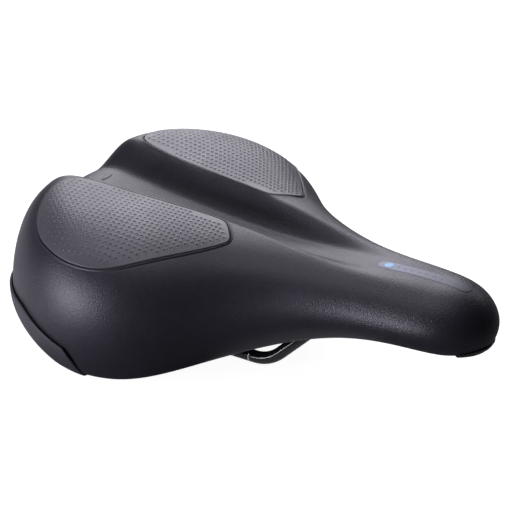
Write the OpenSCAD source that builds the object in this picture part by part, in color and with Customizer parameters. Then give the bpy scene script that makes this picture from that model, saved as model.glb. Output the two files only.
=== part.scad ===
// Comfort bicycle saddle with a sprung seat on a one-piece steel rail.
// Origin: midway between the two rail clamp runs, on the plane of their axes.
// +X points to the nose, +Z up, +Y to the rider's left. Millimetres.

/* [Rail] */
// Diameter of the rail wire
rail_d = 7; // [6.9:0.1:7.1]
// Distance between the axes of the two clamp runs
rail_gauge = 44; // [42:1:45]
// Length of the straight run that the seatpost clamps
clamp_len = 56; // [54:1:60]
// Height of the nose cross-run, where the seat pivots
pivot_z = 38; // [37:0.5:39]
// Distance of the nose cross-run ahead of the origin
pivot_x = 134; // [132:1:135]

/* [Dampers] */
// Outer diameter of each rubber damper
damper_d = 26; // [22:1:26]
// Distance between the two damper bolts
damper_gauge = 70; // [64:1:72]
// Diameter of the damper bolts
bolt_d = 6; // [5:0.5:6]

/* [Seat layers] */
// Thickness of the cover
cover_t = 1.3; // [1:0.1:1.4]
// Foam over the shell at the rear, below the channel floor
foam_rear = 14; // [12:0.5:15]
// Foam over the shell at the nose
foam_nose = 11; // [10:0.5:12]
// Side foam at the rear
side_rear = 6.5; // [5:0.5:7]
// Side foam at the nose
side_nose = 2.5; // [2.2:0.1:2.8]
// Thickness of the memory foam topper
topper_t = 8; // [6:0.5:9]
// Wall of the base shell
shell_t = 2.5; // [2.2:0.1:2.8]
// How far the rear bumper stands proud of the cover
bumper_t = 1.9; // [1.5:0.1:2.2]

/* [Seat form] */
// Half outline seen from above, rear centre to nose tip: control points x
outline_x = [-118, -112.5, -106, -78.5, -43.5, -5.5, 19.5, 53.5, 92.5, 128, 152, 168.5];
// The same control points: half width y
outline_y = [0, 36, 68.5, 94.5, 106.5, 95.5, 64, 42.5, 31.5, 30, 24.5, 0];
// First station of the lengthwise tables below
station_0 = -107; // [-107]
// Spacing of those stations
station_step = 46; // [46]
// Height of the channel floor, then of the nose ridge
floor_z = [72, 67.5, 63, 61, 64, 67.5, 64];
// Rise of the sit pads above the channel floor
lobe_rise = [12, 10.5, 14, 13.5, 2.5, 0, 0];
// Half width of the channel between the pad crests
channel_w = [37, 25, 23, 20.5, 18, 16, 14];
// Sideways crown of the top, per thousand
crown = [-1.3, -1.9, -1.4, 0.1, 2.2, 5, 7.9];
// Height of the line where the top turns into the skirt
edge_z = [33, 32.5, 34.5, 38.5, 43.5, 45.5, 45];
// Height of the bottom edge of the skirt
skirt_z = [-4.5, -4.5, -4, 12.5, 29, 34, 31.5];
// Tuck of the skirt, inwards at its bottom edge
tuck = [19.5, 17.5, 14.5, 11, 9, 7, 5];
// Squareness of the shoulder between top and skirt
shoulder = [4.8, 4.2, 3.6, 3.2, 3.1, 3.2, 3.2];

/* [Sit panels] */
// Outline of one textured panel seen from above: control points
panel_pts = [[-90, 33], [-89.5, 53], [-83, 71], [-73, 83], [-59, 90], [-42, 93.5], [-20.5, 88],
    [-2, 66.5], [11, 50], [18, 40], [20.5, 35], [17.5, 31], [11.5, 25], [8, 21.5], [0, 21.7],
    [-14, 22.6], [-44, 25], [-78, 28]];
// Thickness of a panel
panel_t = 0.8; // [0.6:0.1:1]

/* [Hidden] */
$fn = 48;

// ---------- list and curve helpers ----------
function unit(v) = v/norm(v);
function reversed(list) = [for (i = [len(list)-1:-1:0]) list[i]];
// 0 at x = from, 1 at x = to, constant outside
function ramp(x, from, to) = min(1, max(0, (x - from)/(to - from)));
// uniform cubic B-spline over four control points, v from 0 to 1
function bspline(p0, p1, p2, p3, v) =
    (pow(1 - v, 3)*p0 + (3*pow(v, 3) - 6*v*v + 4)*p1
     + (-3*pow(v, 3) + 3*v*v + 3*v + 1)*p2 + pow(v, 3)*p3)/6;
// open curve; its first and last control points are padding
function open_curve(pts, along) = let (
    t = min(max(along, 0), len(pts) - 3 - 1e-9),
    i = floor(t))
    bspline(pts[i], pts[i+1], pts[i+2], pts[i+3], t - i);
function closed_curve(pts, along) = let (n = len(pts), i = floor(along))
    bspline(pts[(i + n - 1)%n], pts[i%n], pts[(i + 1)%n], pts[(i + 2)%n], along - i);
function padded(list) = let (n = len(list))
    concat([2*list[0] - list[1]], list, [2*list[n-1] - list[n-2]]);

// two facets of the quad a b c d
function quad(a, b, c, d, flip = false) = flip ? [[a, c, b], [a, d, c]] : [[a, b, c], [a, c, d]];

// ---------- lengthwise tables as curves ----------
floor_curve = padded(floor_z);
lobe_curve = padded(lobe_rise);
channel_curve = padded(channel_w);
crown_curve = padded(crown);
edge_curve = padded(edge_z);
hem_curve = padded(skirt_z);
tuck_curve = padded(tuck);
shoulder_curve = padded(shoulder);
function at_x(curve, x) = open_curve(curve, (x - station_0)/station_step);

// half outline, padded with mirrored points so that it crosses the centre line squarely
outline_end = len(outline_x) - 1;
function mirrored_point(i) = [outline_x[i], -outline_y[i]];
outline = concat([mirrored_point(1)],
    [for (i = [0:outline_end]) [outline_x[i], outline_y[i]]],
    [mirrored_point(outline_end - 1)]);

// ---------- the seat surface ----------
half_steps = 33;         // steps along each half outline
swell_power = 1.77;      // roundness of the top towards its rim
tuck_power = 2.14;       // how late the skirt tucks in
spine_rear = -71;
spine_front = 134;
spine_blend = 30;        // length over which the spine ends fade
channel_flat = 0.29;     // flat part of the channel floor
lobe_fall = 0.03;        // fall of the sit pads outside their crests

// max(0, z) with a rounded corner
function soft(z) = 0.5*(z + sqrt(z*z + spine_blend*spine_blend/4));
// x of the centre line point that the outline point at x is drawn towards
function spine(x) = spine_rear + soft(x - spine_rear) - soft(x - spine_front);

// columns of a station on the outline
RIM = 0;                 // [x, y]
SPINE = 1;               // x on the centre line
OUTWARD = 2;             // unit [x, y] from spine to rim
SHOULDER = 3;
EDGE = 4;                // z of the top of the skirt
HEM = 5;                 // z of the bottom of the skirt
TUCK = 6;
function station_at(along) = let (
    rim = open_curve(outline, along),
    spine_x = spine(rim.x),
    arm = rim - [spine_x, 0])
    [rim, spine_x, arm/(norm(arm) + 1e-9), at_x(shoulder_curve, rim.x),
     at_x(edge_curve, rim.x), at_x(hem_curve, rim.x), at_x(tuck_curve, rim.x)];

// share of the lobe rise: 0 in the channel, 1 at the pad crest
function lobe(x, y) = let (k = abs(y)/at_x(channel_curve, x))
    k < 1 ? (1 - cos(180*max(0, (k - channel_flat)/(1 - channel_flat))))/2
        : 1 - lobe_fall*(k - 1)*(k - 1);
function top_form(x, y, lobe_share = 1) = at_x(floor_curve, x)
    + lobe_share*at_x(lobe_curve, x)*lobe(x, y) - at_x(crown_curve, x)*y*y/1000;
// share of the top form reached at a fraction of the way from spine to rim
function swell(station, reach) = pow(max(0, 1 - pow(reach, station[SHOULDER])), 1/swell_power);

// ---------- layer faces ----------
layer_gap = 0.1;         // air between the layers of the seat
lobe_under = 0.6;        // lobe share under the foam
edge_under = 3;          // edge drop under the foam
shell_drop = 0.15;       // shell top below the foam's inner face
shell_extra = 0.1;       // added to the shell wall at the top
flange_gap = 0.45;       // air between shell and turned-in cover edge
flange_t = 1.2;          // turned-in cover edge

COVER_OUT = 0;
COVER_IN = 1;
FOAM_OUT = 2;            // also the top of the topper
TOPPER_IN = 3;
FOAM_LOW = 4;            // floor of the topper's recess in the foam
FOAM_IN = 5;
SHELL_OUT = 6;
SHELL_IN = 7;
FLANGE_OUT = 8;          // the flange faces exist on the skirt only
FLANGE_IN = 9;

// columns of a layer row
INSET = 0;
TOP_DROP = 1;
LOBE_SHARE = 2;
EDGE_DROP = 3;
function layer(station, face) = let (
    x = station[RIM].x,
    foam = cover_t + layer_gap,
    foam_in = foam + side_nose + (side_rear - side_nose)*ramp(x, 60, -80),
    foam_top = foam_rear + (foam_nose - foam_rear)*ramp(x, -20, 60),
    shell = foam_in + layer_gap,
    shell_top = foam_top + shell_drop,
    flange = shell + shell_t + flange_gap)
    [[0, 0, 1, 0],
     [cover_t, cover_t, 1, 0],
     [foam, foam, 1, 0],
     [foam, foam + topper_t, 1, 0],
     [foam, foam + topper_t + layer_gap, 1, 0],
     [foam_in, foam_top, lobe_under, edge_under],
     [shell, shell_top, lobe_under, edge_under],
     [shell + shell_t, shell_top + shell_t + shell_extra, lobe_under, edge_under],
     [flange, 0, 1, 0],
     [flange + flange_t, 0, 1, 0]][face];

// ---------- points and rings on the faces ----------
// side is 1 on the left, -1 on the right
function on_top(station, side, reach, row) = let (
    rim = station[RIM] - station[OUTWARD]*row[INSET],
    x = station[SPINE] + (rim.x - station[SPINE])*reach,
    y = rim.y*reach,
    edge = station[EDGE] - row[EDGE_DROP],
    form = top_form(x, y, row[LOBE_SHARE]) - row[TOP_DROP])
    [x, side*y, edge + (form - edge)*swell(station, reach)];
// down runs from 0 at the edge to 1 at the hem
function on_skirt(station, side, down, inset, dz = 0, edge_drop = 0) = let (
    point = station[RIM] - station[OUTWARD]*(station[TUCK]*pow(down, tuck_power) + inset),
    edge = station[EDGE] - edge_drop)
    [point.x, side*point.y, edge + (station[HEM] - edge)*down + dz];
function skirt_h(station, edge_drop = 0) = station[EDGE] - edge_drop - station[HEM];
// skirt fraction at a height above the hem
function above_hem(station, h, edge_drop = 0) = 1 - h/skirt_h(station, edge_drop);
function flange_h(station) = min(9, 0.45*skirt_h(station));
function flange_inset(station) = layer(station, FLANGE_IN)[INSET];

// [station, side] all round: left half from rear to nose, then right half back
stations = [for (j = [0:half_steps]) station_at(outline_end*j/half_steps)];
round_trip = concat([for (j = [0:half_steps]) [stations[j], 1]],
    [for (j = [half_steps-1:-1:1]) [stations[j], -1]]);

function top_ring(face, reach) =
    [for (p = round_trip) on_top(p[0], p[1], reach, layer(p[0], face))];
function skirt_ring(face, down) = [for (p = round_trip) let (row = layer(p[0], face))
    on_skirt(p[0], p[1], down, row[INSET], 0, row[EDGE_DROP])];
// ring at a height above the hem
function foot_ring(face, h) = [for (p = round_trip) let (
    row = layer(p[0], face),
    drop = row[EDGE_DROP])
    on_skirt(p[0], p[1], above_hem(p[0], h, drop), row[INSET], 0, drop)];
// ring at the upper end of the turned-in cover edge
function lip_ring(face) = [for (p = round_trip)
    on_skirt(p[0], p[1], above_hem(p[0], flange_h(p[0])), layer(p[0], face)[INSET])];

reaches = [0.06, 0.24, 0.42, 0.58, 0.72, 0.83, 0.91, 0.965, 1];
downs = [0.22, 0.44, 0.64, 0.82];
// rings of one face, from the top (or ring number first) down to h above the hem
function face_rings(face, h, first = 0) = concat(
    [for (k = [first:len(reaches)-1]) top_ring(face, reaches[k])],
    [for (down = downs) skirt_ring(face, down)],
    [foot_ring(face, h)]);
// rings of the area under and over the topper, out to a last reach
topper_steps = 5;
function topper_rings(face, last) = concat(
    [for (k = [0:topper_steps-1]) top_ring(face, reaches[k])], [top_ring(face, last)]);

// closed solid through the rings going out and coming back, with a strip closing
// the first and the last; the facets coming back use the other diagonal
module skin(going, back) {
    rings = concat(going, back);
    m = len(round_trip);
    n = len(rings);
    sides = [for (k = [0:n-2]) for (j = [0:m-1]) let (
        j2 = (j + 1)%m,
        a = k*m + j,
        b = k*m + j2,
        c = (k + 1)*m + j2,
        d = (k + 1)*m + j)
        each ((k >= len(going)) == (j < half_steps) ? quad(d, c, b, a) : quad(a, d, c, b))];
    // the strip ends in a single triangle at the rear and at the nose
    function strip(k, flip) = [for (j = [0:half_steps-1]) let (
        facets = quad(k*m + j, k*m + j + 1, k*m + m - j - 1, k*m + (m - j)%m, flip))
        each (j == 0 ? [facets[0]] : j == half_steps - 1 ? [facets[1]] : facets)];
    polyhedron([for (ring = rings) each ring],
        concat(sides, strip(0, false), strip(n - 1, true)));
}

// ---------- thin patches lying on the seat top ----------
// positive while the outline point lies short of the ray from its spine through (x, y)
function side_of(along, x, y) = let (s = station_at(along))
    (x - s[SPINE])*s[RIM].y - y*(s[RIM].x - s[SPINE]);
// bisection for the outline place whose ray passes through (x, y)
function find_along(x, y, low, high, steps) = let (middle = (low + high)/2)
    steps == 0 ? middle
    : side_of(middle, x, y) > 0 ? find_along(x, y, middle, high, steps - 1)
    : find_along(x, y, low, middle, steps - 1);
function top_z(x, y) = let (
    half_y = max(abs(y), 0.05),
    station = station_at(find_along(x, half_y, 0, outline_end, 18)),
    spine_point = [station[SPINE], 0],
    reach = norm([x, half_y] - spine_point)/(norm(station[RIM] - spine_point) + 1e-9))
    station[EDGE] + (top_form(x, half_y) - station[EDGE])*swell(station, min(reach, 1));
// point h off the seat top, along its normal
function lifted(p, h) = let (
    x = p.x,
    y = p.y,
    normal = unit([top_z(x - 0.5, y) - top_z(x + 0.5, y),
        top_z(x, y - 0.5) - top_z(x, y + 0.5), 1]))
    [x, y, top_z(x, y)] + normal*h;

// patch between two heights above the seat top; edge is a closed loop, clockwise
// from above, repeated at each scale towards the centre
module patch(edge, centre, scales, low, high) {
    n = len(edge);
    m = len(scales);
    under = m*n;         // first point of the underside
    flat = [for (s = scales) for (p = edge) centre + (p - centre)*s];
    points = concat([for (p = flat) lifted(p, high)], [for (p = flat) lifted(p, low)],
        [lifted(centre, high), lifted(centre, low)]);
    body = [for (k = [0:m-2]) for (j = [0:n-1]) let (
        j2 = (j + 1)%n,
        a = k*n + j,
        b = k*n + j2,
        c = (k + 1)*n + j2,
        d = (k + 1)*n + j)
        each concat(quad(a, b, c, d), quad(under + a, under + d, under + c, under + b))];
    rim = [for (j = [0:n-1]) let (j2 = (j + 1)%n) each quad(j, under + j, under + j2, j2)];
    tip = [for (j = [0:n-1]) let (a = (m - 1)*n + j, b = (m - 1)*n + (j + 1)%n)
        each [[a, b, 2*under], [under + b, under + a, 2*under + 1]]];
    polyhedron(points, concat(body, rim, tip));
}

// ---------- channel-shaped trims that grip the bottom edge ----------
// closed cross-section at a station: start is the skirt fraction where the outer leg
// begins, proud its thickness, air its gap to the cover, leg_h and leg_air the height
// and gap of the inner leg, thin the share of thickness lost towards the hem
function grip(station, side, start, proud, air, leg_h, leg_air, thin = 0) = let (
    inner = flange_inset(station),
    leg = inner + leg_air,
    leg_back = leg + proud*0.8,
    leg_top = above_hem(station, min(leg_h, 0.42*skirt_h(station))),
    downs = [for (k = [0:5]) start + (1 - start)*k/5],
    outer_path = concat(
        [for (k = [0:5]) on_skirt(station, side, downs[k],
            -proud*(k == 0 ? 0.75 : 1 - thin*k*k*(15 - 2*k)/125))],
        [for (inset = [0.2, inner*0.5, inner]) on_skirt(station, side, 1, inset, -proud)],
        [on_skirt(station, side, 1, leg_back, -proud*0.4),
         on_skirt(station, side, leg_top, leg_back)]),
    inner_path = concat(
        [for (k = [0:5]) on_skirt(station, side, downs[k], -air, k == 5 ? -air : 0)],
        [for (inset = [0.4, inner*0.5, inner - 0.2]) on_skirt(station, side, 1, inset, -air)],
        [on_skirt(station, side, 1, leg, -air*0.5),
         on_skirt(station, side, leg_top, leg)]))
    concat(outer_path, reversed(inner_path));

// solid through a row of such cross-sections; flip turns all its facets over
module band(sections, flip) {
    w = len(sections[0]);
    n = len(sections);
    body = [for (i = [0:n-2]) for (k = [0:w-1]) let (
        k2 = (k + 1)%w,
        next = (i + 1)*w)
        each quad(i*w + k, i*w + k2, next + k2, next + k, !flip)];
    function cap(i, flip) = [for (k = [0:w/2-2])
        each quad(i*w + k, i*w + k + 1, i*w + w - 2 - k, i*w + w - 1 - k, flip)];
    polyhedron([for (section = sections) each section],
        concat(body, cap(0, flip), cap(n - 1, !flip)));
}

// upper edge of the bumper as a skirt fraction; k is 0 at the rear centre, 1 at its ends
function bumper_top(k) = let (z = k - 0.745, end = max(0, (k - 0.975)/0.025))
    0.012 + 0.86*(z + sqrt(z*z + 0.0009)) + 0.2*end*end;
bumper_end = 4.08;       // place along the outline
bumper_sections = [for (i = [-13:13]) let (
    along = min(abs(i)*outline_end/half_steps, bumper_end))
    grip(station_at(along), i < 0 ? -1 : 1, start = bumper_top(along/bumper_end),
        proud = bumper_t, air = 0.35, leg_h = 8, leg_air = 1, thin = 0.5)];
guard_step = 0.28;       // step along the outline
guard_sections = [for (i = [-3:3]) let (k = abs(i)/3)
    grip(station_at(outline_end - abs(i)*guard_step), i < 0 ? -1 : 1,
        start = 0.66 + 0.17*k*k, proud = 1, air = 0.25, leg_h = 5, leg_air = 0.5)];

// ---------- rail ----------
rail_r = rail_d/2;
rail_end_x = -80;                             // rear ends of the wire
step_back = [16.5, 4, -8];                    // rear sockets to the clamp run
step_up = [39.5, -9, 38]*pivot_z/38;          // clamp run to the level of the pivot
clamp_rear_bend = 30;
clamp_front_bend = 22;
// length a bend takes off a straight along X
function bend_cut(radius, step) = radius*tan(acos(unit(step).x)/2);
clamp_rear = [-clamp_len/2 - bend_cut(clamp_rear_bend, step_back), rail_gauge/2, 0];
clamp_front = [clamp_len/2 + bend_cut(clamp_front_bend, step_up), rail_gauge/2, 0];
socket = clamp_rear - step_back;
rise_top = clamp_front + step_up;
// left half of the wire, from the rear end to the nose cross-run: corners and bend radii
rail_half = [[rail_end_x, socket.y, socket.z], socket, clamp_rear, clamp_front, rise_top,
    [pivot_x, rise_top.y, pivot_z]];
half_bends = [0, 24, clamp_rear_bend, clamp_front_bend, 30, 8];
rail_corners = concat(rail_half, [for (p = reversed(rail_half)) [p.x, -p.y, p.z]]);
rail_bends = concat(half_bends, reversed(half_bends));

module wire(corners, bends, radius) {
    n = len(corners);
    dirs = [for (i = [0:n-2]) unit(corners[i+1] - corners[i])];
    angles = [for (i = [1:n-2]) acos(dirs[i-1]*dirs[i])];
    cuts = [for (i = [0:n-1]) (i == 0 || i == n - 1) ? 0 : bends[i]*tan(angles[i-1]/2)];
    // each straight runs a little way over the start of the bend next to it
    over = [for (i = [0:n-1]) cuts[i] == 0 ? 0 : sqrt(0.004*bends[i])];
    union() {
        for (i = [0:n-2])
            let (dir = dirs[i],
                start = corners[i] + dir*(cuts[i] - over[i]),
                end = corners[i+1] - dir*(cuts[i+1] - over[i+1]))
            translate(start)
                rotate([0, acos(dir.z), atan2(dir.y, dir.x)])
                    cylinder(r = radius, h = norm(end - start));
        for (i = [1:n-2])
            let (before = dirs[i-1],
                after = dirs[i],
                inward = unit(after - (after*before)*before),
                centre = corners[i] - before*cuts[i] + inward*bends[i],
                axis = cross(-inward, before))
            multmatrix([for (k = [0:3]) k == 3 ? [0, 0, 0, 1]
                : [-inward[k], before[k], axis[k], centre[k]]])
                rotate_extrude(angle = angles[i-1])
                    translate([bends[i], 0])
                        circle(r = radius - 0.01);
    }
}

module rail_wire() color("#26262b") wire(rail_corners, rail_bends, rail_r);

// ---------- rear bridge, dampers and their bolts ----------
damper_x = -73;          // damper bolts behind the origin
damper_r = damper_d/2;
bolt_r = bolt_d/2;
bridge_z = 2;            // underside of the rear bridge
bridge_l = 20;
bridge_slot = [14, 9.5, 10];
pad_z = 13;              // seat of the dampers in the bridge
cup_z = 37;              // top face of the dampers
boss_z = 39.02;          // foot of the shell's damper towers
bolt_foot = bridge_z - 2;
bolt_top = 47.5;
seat_air = 0.4;          // round a damper in its bridge seat and in its cup
groove = 2.6;            // depth of the two grooves round a damper

module at_dampers(z = 0) for (side = [-1, 1]) translate([damper_x, side*damper_gauge/2, z])
    children();

module rear_bridge() color("#1d1d20") difference() {
    union() {
        translate([damper_x - bridge_l/2, -damper_gauge/2, bridge_z])
            cube([bridge_l, damper_gauge, 12]);
        at_dampers(bridge_z) cylinder(r = damper_r + 1.8, h = 13, $fn = 64);
    }
    at_dampers(bridge_z - 1) cylinder(r = bolt_r + 1.8, h = 20);
    at_dampers(pad_z) cylinder(r = damper_r + seat_air, h = 10, $fn = 64);
    for (side = [-1, 1])
        translate([rail_end_x - 0.02, side*socket.y, socket.z])
            rotate([0, 90, 0])
                cylinder(r = rail_r + 0.01, h = 30);
    for (side = [-1, 1])
        translate([damper_x - bridge_slot.x/2, side*5.75 - bridge_slot.y/2, 7])
            cube(bridge_slot);
}

module damper(side) translate([damper_x, side*damper_gauge/2, 0]) rotate_extrude($fn = 64)
    polygon([
        [4.5, pad_z + 0.02],
        [damper_r - 1, pad_z + 0.02],
        [damper_r, pad_z + 1.2],
        [damper_r, pad_z + 6],
        [damper_r - groove, pad_z + 8],
        [damper_r - groove, pad_z + 9.4],
        [damper_r, pad_z + 11.2],
        [damper_r, pad_z + 12.6],
        [damper_r - groove, pad_z + 14.4],
        [damper_r - groove, pad_z + 15.8],
        [damper_r, pad_z + 18],
        [damper_r, cup_z - 1.2],
        [damper_r - 1, cup_z - 0.02],
        [4.5, cup_z - 0.02]]);
module elastomer_left() color("#4a4a52") damper(1);
module elastomer_right() color("#4a4a52") damper(-1);

// bolts put in from below, each with a hexagon socket
module damper_bolts() color("#a9adb3") at_dampers() difference() {
    union() {
        translate([0, 0, bolt_foot]) cylinder(r = bolt_r, h = bolt_top - bolt_foot);
        translate([0, 0, bridge_z - 6.1]) cylinder(r = 5, h = 4.4);
    }
    translate([0, 0, bridge_z - 7]) cylinder(r = 2.3, h = 3.9, $fn = 6);
}
module damper_washers() color("#8f9299") at_dampers(bridge_z - 1.6) difference() {
    cylinder(r = 8, h = 1.55);
    translate([0, 0, -1]) cylinder(r = bolt_r + 0.1, h = 4);
}
module damper_cups() color("#232327") at_dampers() difference() {
    translate([0, 0, cup_z - 2]) cylinder(r = damper_r + 2, h = 3.98, $fn = 64);
    translate([0, 0, cup_z - 5]) cylinder(r = damper_r + seat_air, h = 5, $fn = 64);
    translate([0, 0, cup_z - 1]) cylinder(r = bolt_r + 0.1, h = 5);
}
insert_r = 4.5;
module shell_inserts() color("#b08d4a") at_dampers(boss_z + 0.02) difference() {
    cylinder(r = insert_r, h = 10.6);
    translate([0, 0, -1]) cylinder(r = bolt_r + 0.02, h = 9.9);
}

// ---------- nose pivot ----------
nose_w = 8.8;            // width of block, cap and bush
nose_plate = [27, 22, 3];
nose_rear = pivot_x - nose_plate.x/2;
nose_l = 26;             // length of block body and cap
bush_r = 6;
screw_pitch = 9.5;       // nose screws before and behind the pivot
screw_tip_r = 1.5;
nose_boss_z = pivot_z + 8.05;

module at_nose_screws(z = 0) for (s = [-1, 1]) translate([pivot_x + s*screw_pitch, 0, z])
    children();
module bush_bore() translate([pivot_x, 15, pivot_z]) rotate([90, 0, 0])
    cylinder(r = bush_r + 0.03, h = 30);

module nose_block() color("#1d1d20") difference() {
    union() {
        translate([nose_rear, -nose_plate.y/2, pivot_z + 5]) cube(nose_plate);
        translate([nose_rear, -nose_w/2, pivot_z + 0.05]) cube([nose_l, nose_w, 6]);
    }
    bush_bore();
    at_nose_screws(pivot_z - 2) cylinder(r = 2.1, h = 12, $fn = 32);
}
module nose_cap() color("#232327") difference() {
    translate([nose_rear, -nose_w/2, pivot_z - 8]) cube([nose_l, nose_w, 7.95]);
    bush_bore();
    at_nose_screws(pivot_z - 10) cylinder(r = 2.1, h = 12, $fn = 32);
}
module nose_bush() color("#6d6a60")
    translate([pivot_x, nose_w/2, pivot_z]) rotate([90, 0, 0]) difference() {
        cylinder(r = bush_r, h = nose_w);
        translate([0, 0, -1]) cylinder(r = rail_r + 0.05, h = 12);
    }
module nose_screws() color("#a9adb3") at_nose_screws() difference() {
    union() {
        translate([0, 0, pivot_z - 8.05]) cylinder(r = 2, h = 15.8, $fn = 32);
        translate([0, 0, pivot_z + 7.7]) cylinder(r = screw_tip_r, h = 5.6, $fn = 32);
        translate([0, 0, pivot_z - 10.35]) cylinder(r = 3.6, h = 2.3, $fn = 32);
    }
    translate([0, 0, pivot_z - 11]) cylinder(r = 1.5, h = 2.2, $fn = 6);
}

// ---------- seat layers ----------
inner_foot = 1.45;       // foot of shell and foam above the hem
cover_foot = 1.3;        // cover's inner face above the hem

module base_shell() color("#17171a") difference() {
    union() {
        skin(face_rings(SHELL_OUT, inner_foot), reversed(face_rings(SHELL_IN, inner_foot)));
        at_dampers(boss_z) cylinder(r = 7.2, h = 60.6 - boss_z);
        at_nose_screws(nose_boss_z) cylinder(r = 4.2, h = 53 - nose_boss_z);
    }
    at_dampers(boss_z - 1) cylinder(r = insert_r + 0.02, h = 12);
    at_nose_screws(pivot_z + 7) cylinder(r = screw_tip_r + 0.02, h = 6.5, $fn = 32);
}

// the recess for the topper ends in a near-vertical wall
module foam_pad() color("#c9c4a8") skin(
    concat(topper_rings(FOAM_LOW, 0.8315), [top_ring(FOAM_OUT, 0.8335)],
        face_rings(FOAM_OUT, inner_foot, first = 6)),
    reversed(face_rings(FOAM_IN, inner_foot)));

module memory_foam_topper() color("#e6e2d2")
    skin(topper_rings(FOAM_OUT, 0.829), reversed(topper_rings(TOPPER_IN, 0.829)));

// the cover turns in under the hem and up inside the shell
module cover() color("#2a2a31") skin(
    concat(face_rings(COVER_OUT, 0), [foot_ring(FLANGE_IN, 0), lip_ring(FLANGE_IN),
        lip_ring(FLANGE_OUT), foot_ring(FLANGE_OUT, cover_foot)]),
    reversed(face_rings(COVER_IN, cover_foot)));

// ---------- panels, badge and tab ----------
panel_steps = 54;
panel_edge = [for (i = [0:panel_steps-1])
    closed_curve(panel_pts, i*len(panel_pts)/panel_steps)];
module panel() patch(panel_edge, [-40, 58], [1, 0.86, 0.66, 0.42, 0.2], 0.3, 0.3 + panel_t);
module panel_left() color("#8d8d96") panel();
module panel_right() color("#8d8d96") mirror([0, 1, 0]) panel();

// slot-shaped badge: straight sides between two round ends
badge_r = 4;
badge_x = 120;
badge_half = 24;         // centre to the centre of a round end
badge_left = concat(
    [for (i = [0:7]) [-badge_half - badge_r*sin(i*180/8), -badge_r*cos(i*180/8)]],
    [for (i = [0:11]) [-badge_half + 2*badge_half*i/12, badge_r]]);
badge_edge = [for (turn = [-1, 1]) for (p = badge_left) [badge_x, 0] + turn*p];
module nose_badge() color("#b9b9c6")
    patch(badge_edge, [badge_x, 0], [1, 0.75, 0.5, 0.25], 0.25, 0.6);

tab_x = -88;
tab_edge = [for (i = [0:23]) let (a = -360*i/24) [tab_x + 1.2*cos(a), 4.7*sin(a)]];
module rear_tab() color("#b9b9c6") patch(tab_edge, [tab_x, 0], [1, 0.5], 0.25, 0.7);

// ---------- trims ----------
module rear_bumper() color("#303038") band(bumper_sections, true);
module nose_guard() color("#1b1b1f") band(guard_sections, false);

// ---------- staples that hold the turned-in edge of the cover to the shell ----------
staple_alongs = [for (i = [0:7]) 4.6 + 0.7*i];     // places along the outline
staple_l = 9;
staple_t = 0.7;
leg_l = 2.6;
leg_back = 0.3;          // part of a leg inside the staple's centre line
module staple(along, side) {
    station = station_at(along);
    down = above_hem(station, 0.55*flange_h(station));
    inset = flange_inset(station) + 0.45;
    rear = on_skirt(station_at(along - 0.06), side, down, inset);
    front = on_skirt(station_at(along + 0.06), side, down, inset);
    run = front - rear;
    translate((rear + front)/2) rotate([0, 0, atan2(run.y, run.x)]) {
        translate([-staple_l/2, -staple_t/2, -staple_t/2]) cube([staple_l, staple_t, staple_t]);
        for (x = [-staple_l/2, staple_l/2 - staple_t])
            translate([x, side > 0 ? -leg_back : leg_back - leg_l, -staple_t/2])
                cube([staple_t, leg_l, staple_t]);
    }
}
module cover_staples() color("#a9adb3")
    for (along = staple_alongs) for (side = [-1, 1]) staple(along, side);

rail_wire();
rear_bridge();
elastomer_left();
elastomer_right();
base_shell();
foam_pad();
memory_foam_topper();
cover();
panel_left();
panel_right();
nose_badge();
rear_tab();
rear_bumper();
nose_guard();
nose_block();
nose_cap();
nose_bush();
nose_screws();
damper_bolts();
damper_washers();
damper_cups();
shell_inserts();
cover_staples();
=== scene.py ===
"""A bicycle saddle on its rail and damper carriage.

The nose points along +X, the rider's left is +Y and Z is up. Meshes are worked out in
millimetres and scaled to metres when they are made; materials and the stage are in metres.
"""
import math

import bmesh
import bpy
import numpy as np
from mathutils import Matrix, Vector
from mathutils.geometry import delaunay_2d_cdt


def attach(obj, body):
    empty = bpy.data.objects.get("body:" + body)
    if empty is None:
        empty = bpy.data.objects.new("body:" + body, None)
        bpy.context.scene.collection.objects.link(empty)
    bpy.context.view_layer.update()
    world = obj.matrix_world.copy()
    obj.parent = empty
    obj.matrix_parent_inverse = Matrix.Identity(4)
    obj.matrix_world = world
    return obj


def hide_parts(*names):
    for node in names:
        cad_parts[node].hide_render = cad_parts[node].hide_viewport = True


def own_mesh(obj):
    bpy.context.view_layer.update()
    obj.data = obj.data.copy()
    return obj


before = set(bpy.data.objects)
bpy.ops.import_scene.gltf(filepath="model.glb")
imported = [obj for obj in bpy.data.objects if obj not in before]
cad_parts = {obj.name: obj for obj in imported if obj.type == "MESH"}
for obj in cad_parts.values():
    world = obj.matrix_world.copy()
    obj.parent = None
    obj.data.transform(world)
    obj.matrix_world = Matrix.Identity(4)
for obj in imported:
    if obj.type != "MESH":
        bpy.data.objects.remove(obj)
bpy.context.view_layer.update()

scene = bpy.context.scene

# =====================================================================================
# The seat surface
# =====================================================================================
# left half of the plan outline, from the rear (parameter t = 0) to the nose (t = 11)
OUTLINE_X = np.array([-118, -112.5, -106, -78.5, -43.5, -5.5, 19.5, 53.5, 92.5, 128, 152, 168.5])
OUTLINE_Y = np.array([0, 36, 68.5, 94.5, 106.5, 95.5, 64, 42.5, 31.5, 30, 24.5, 0])
T_NOSE = 11

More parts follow.
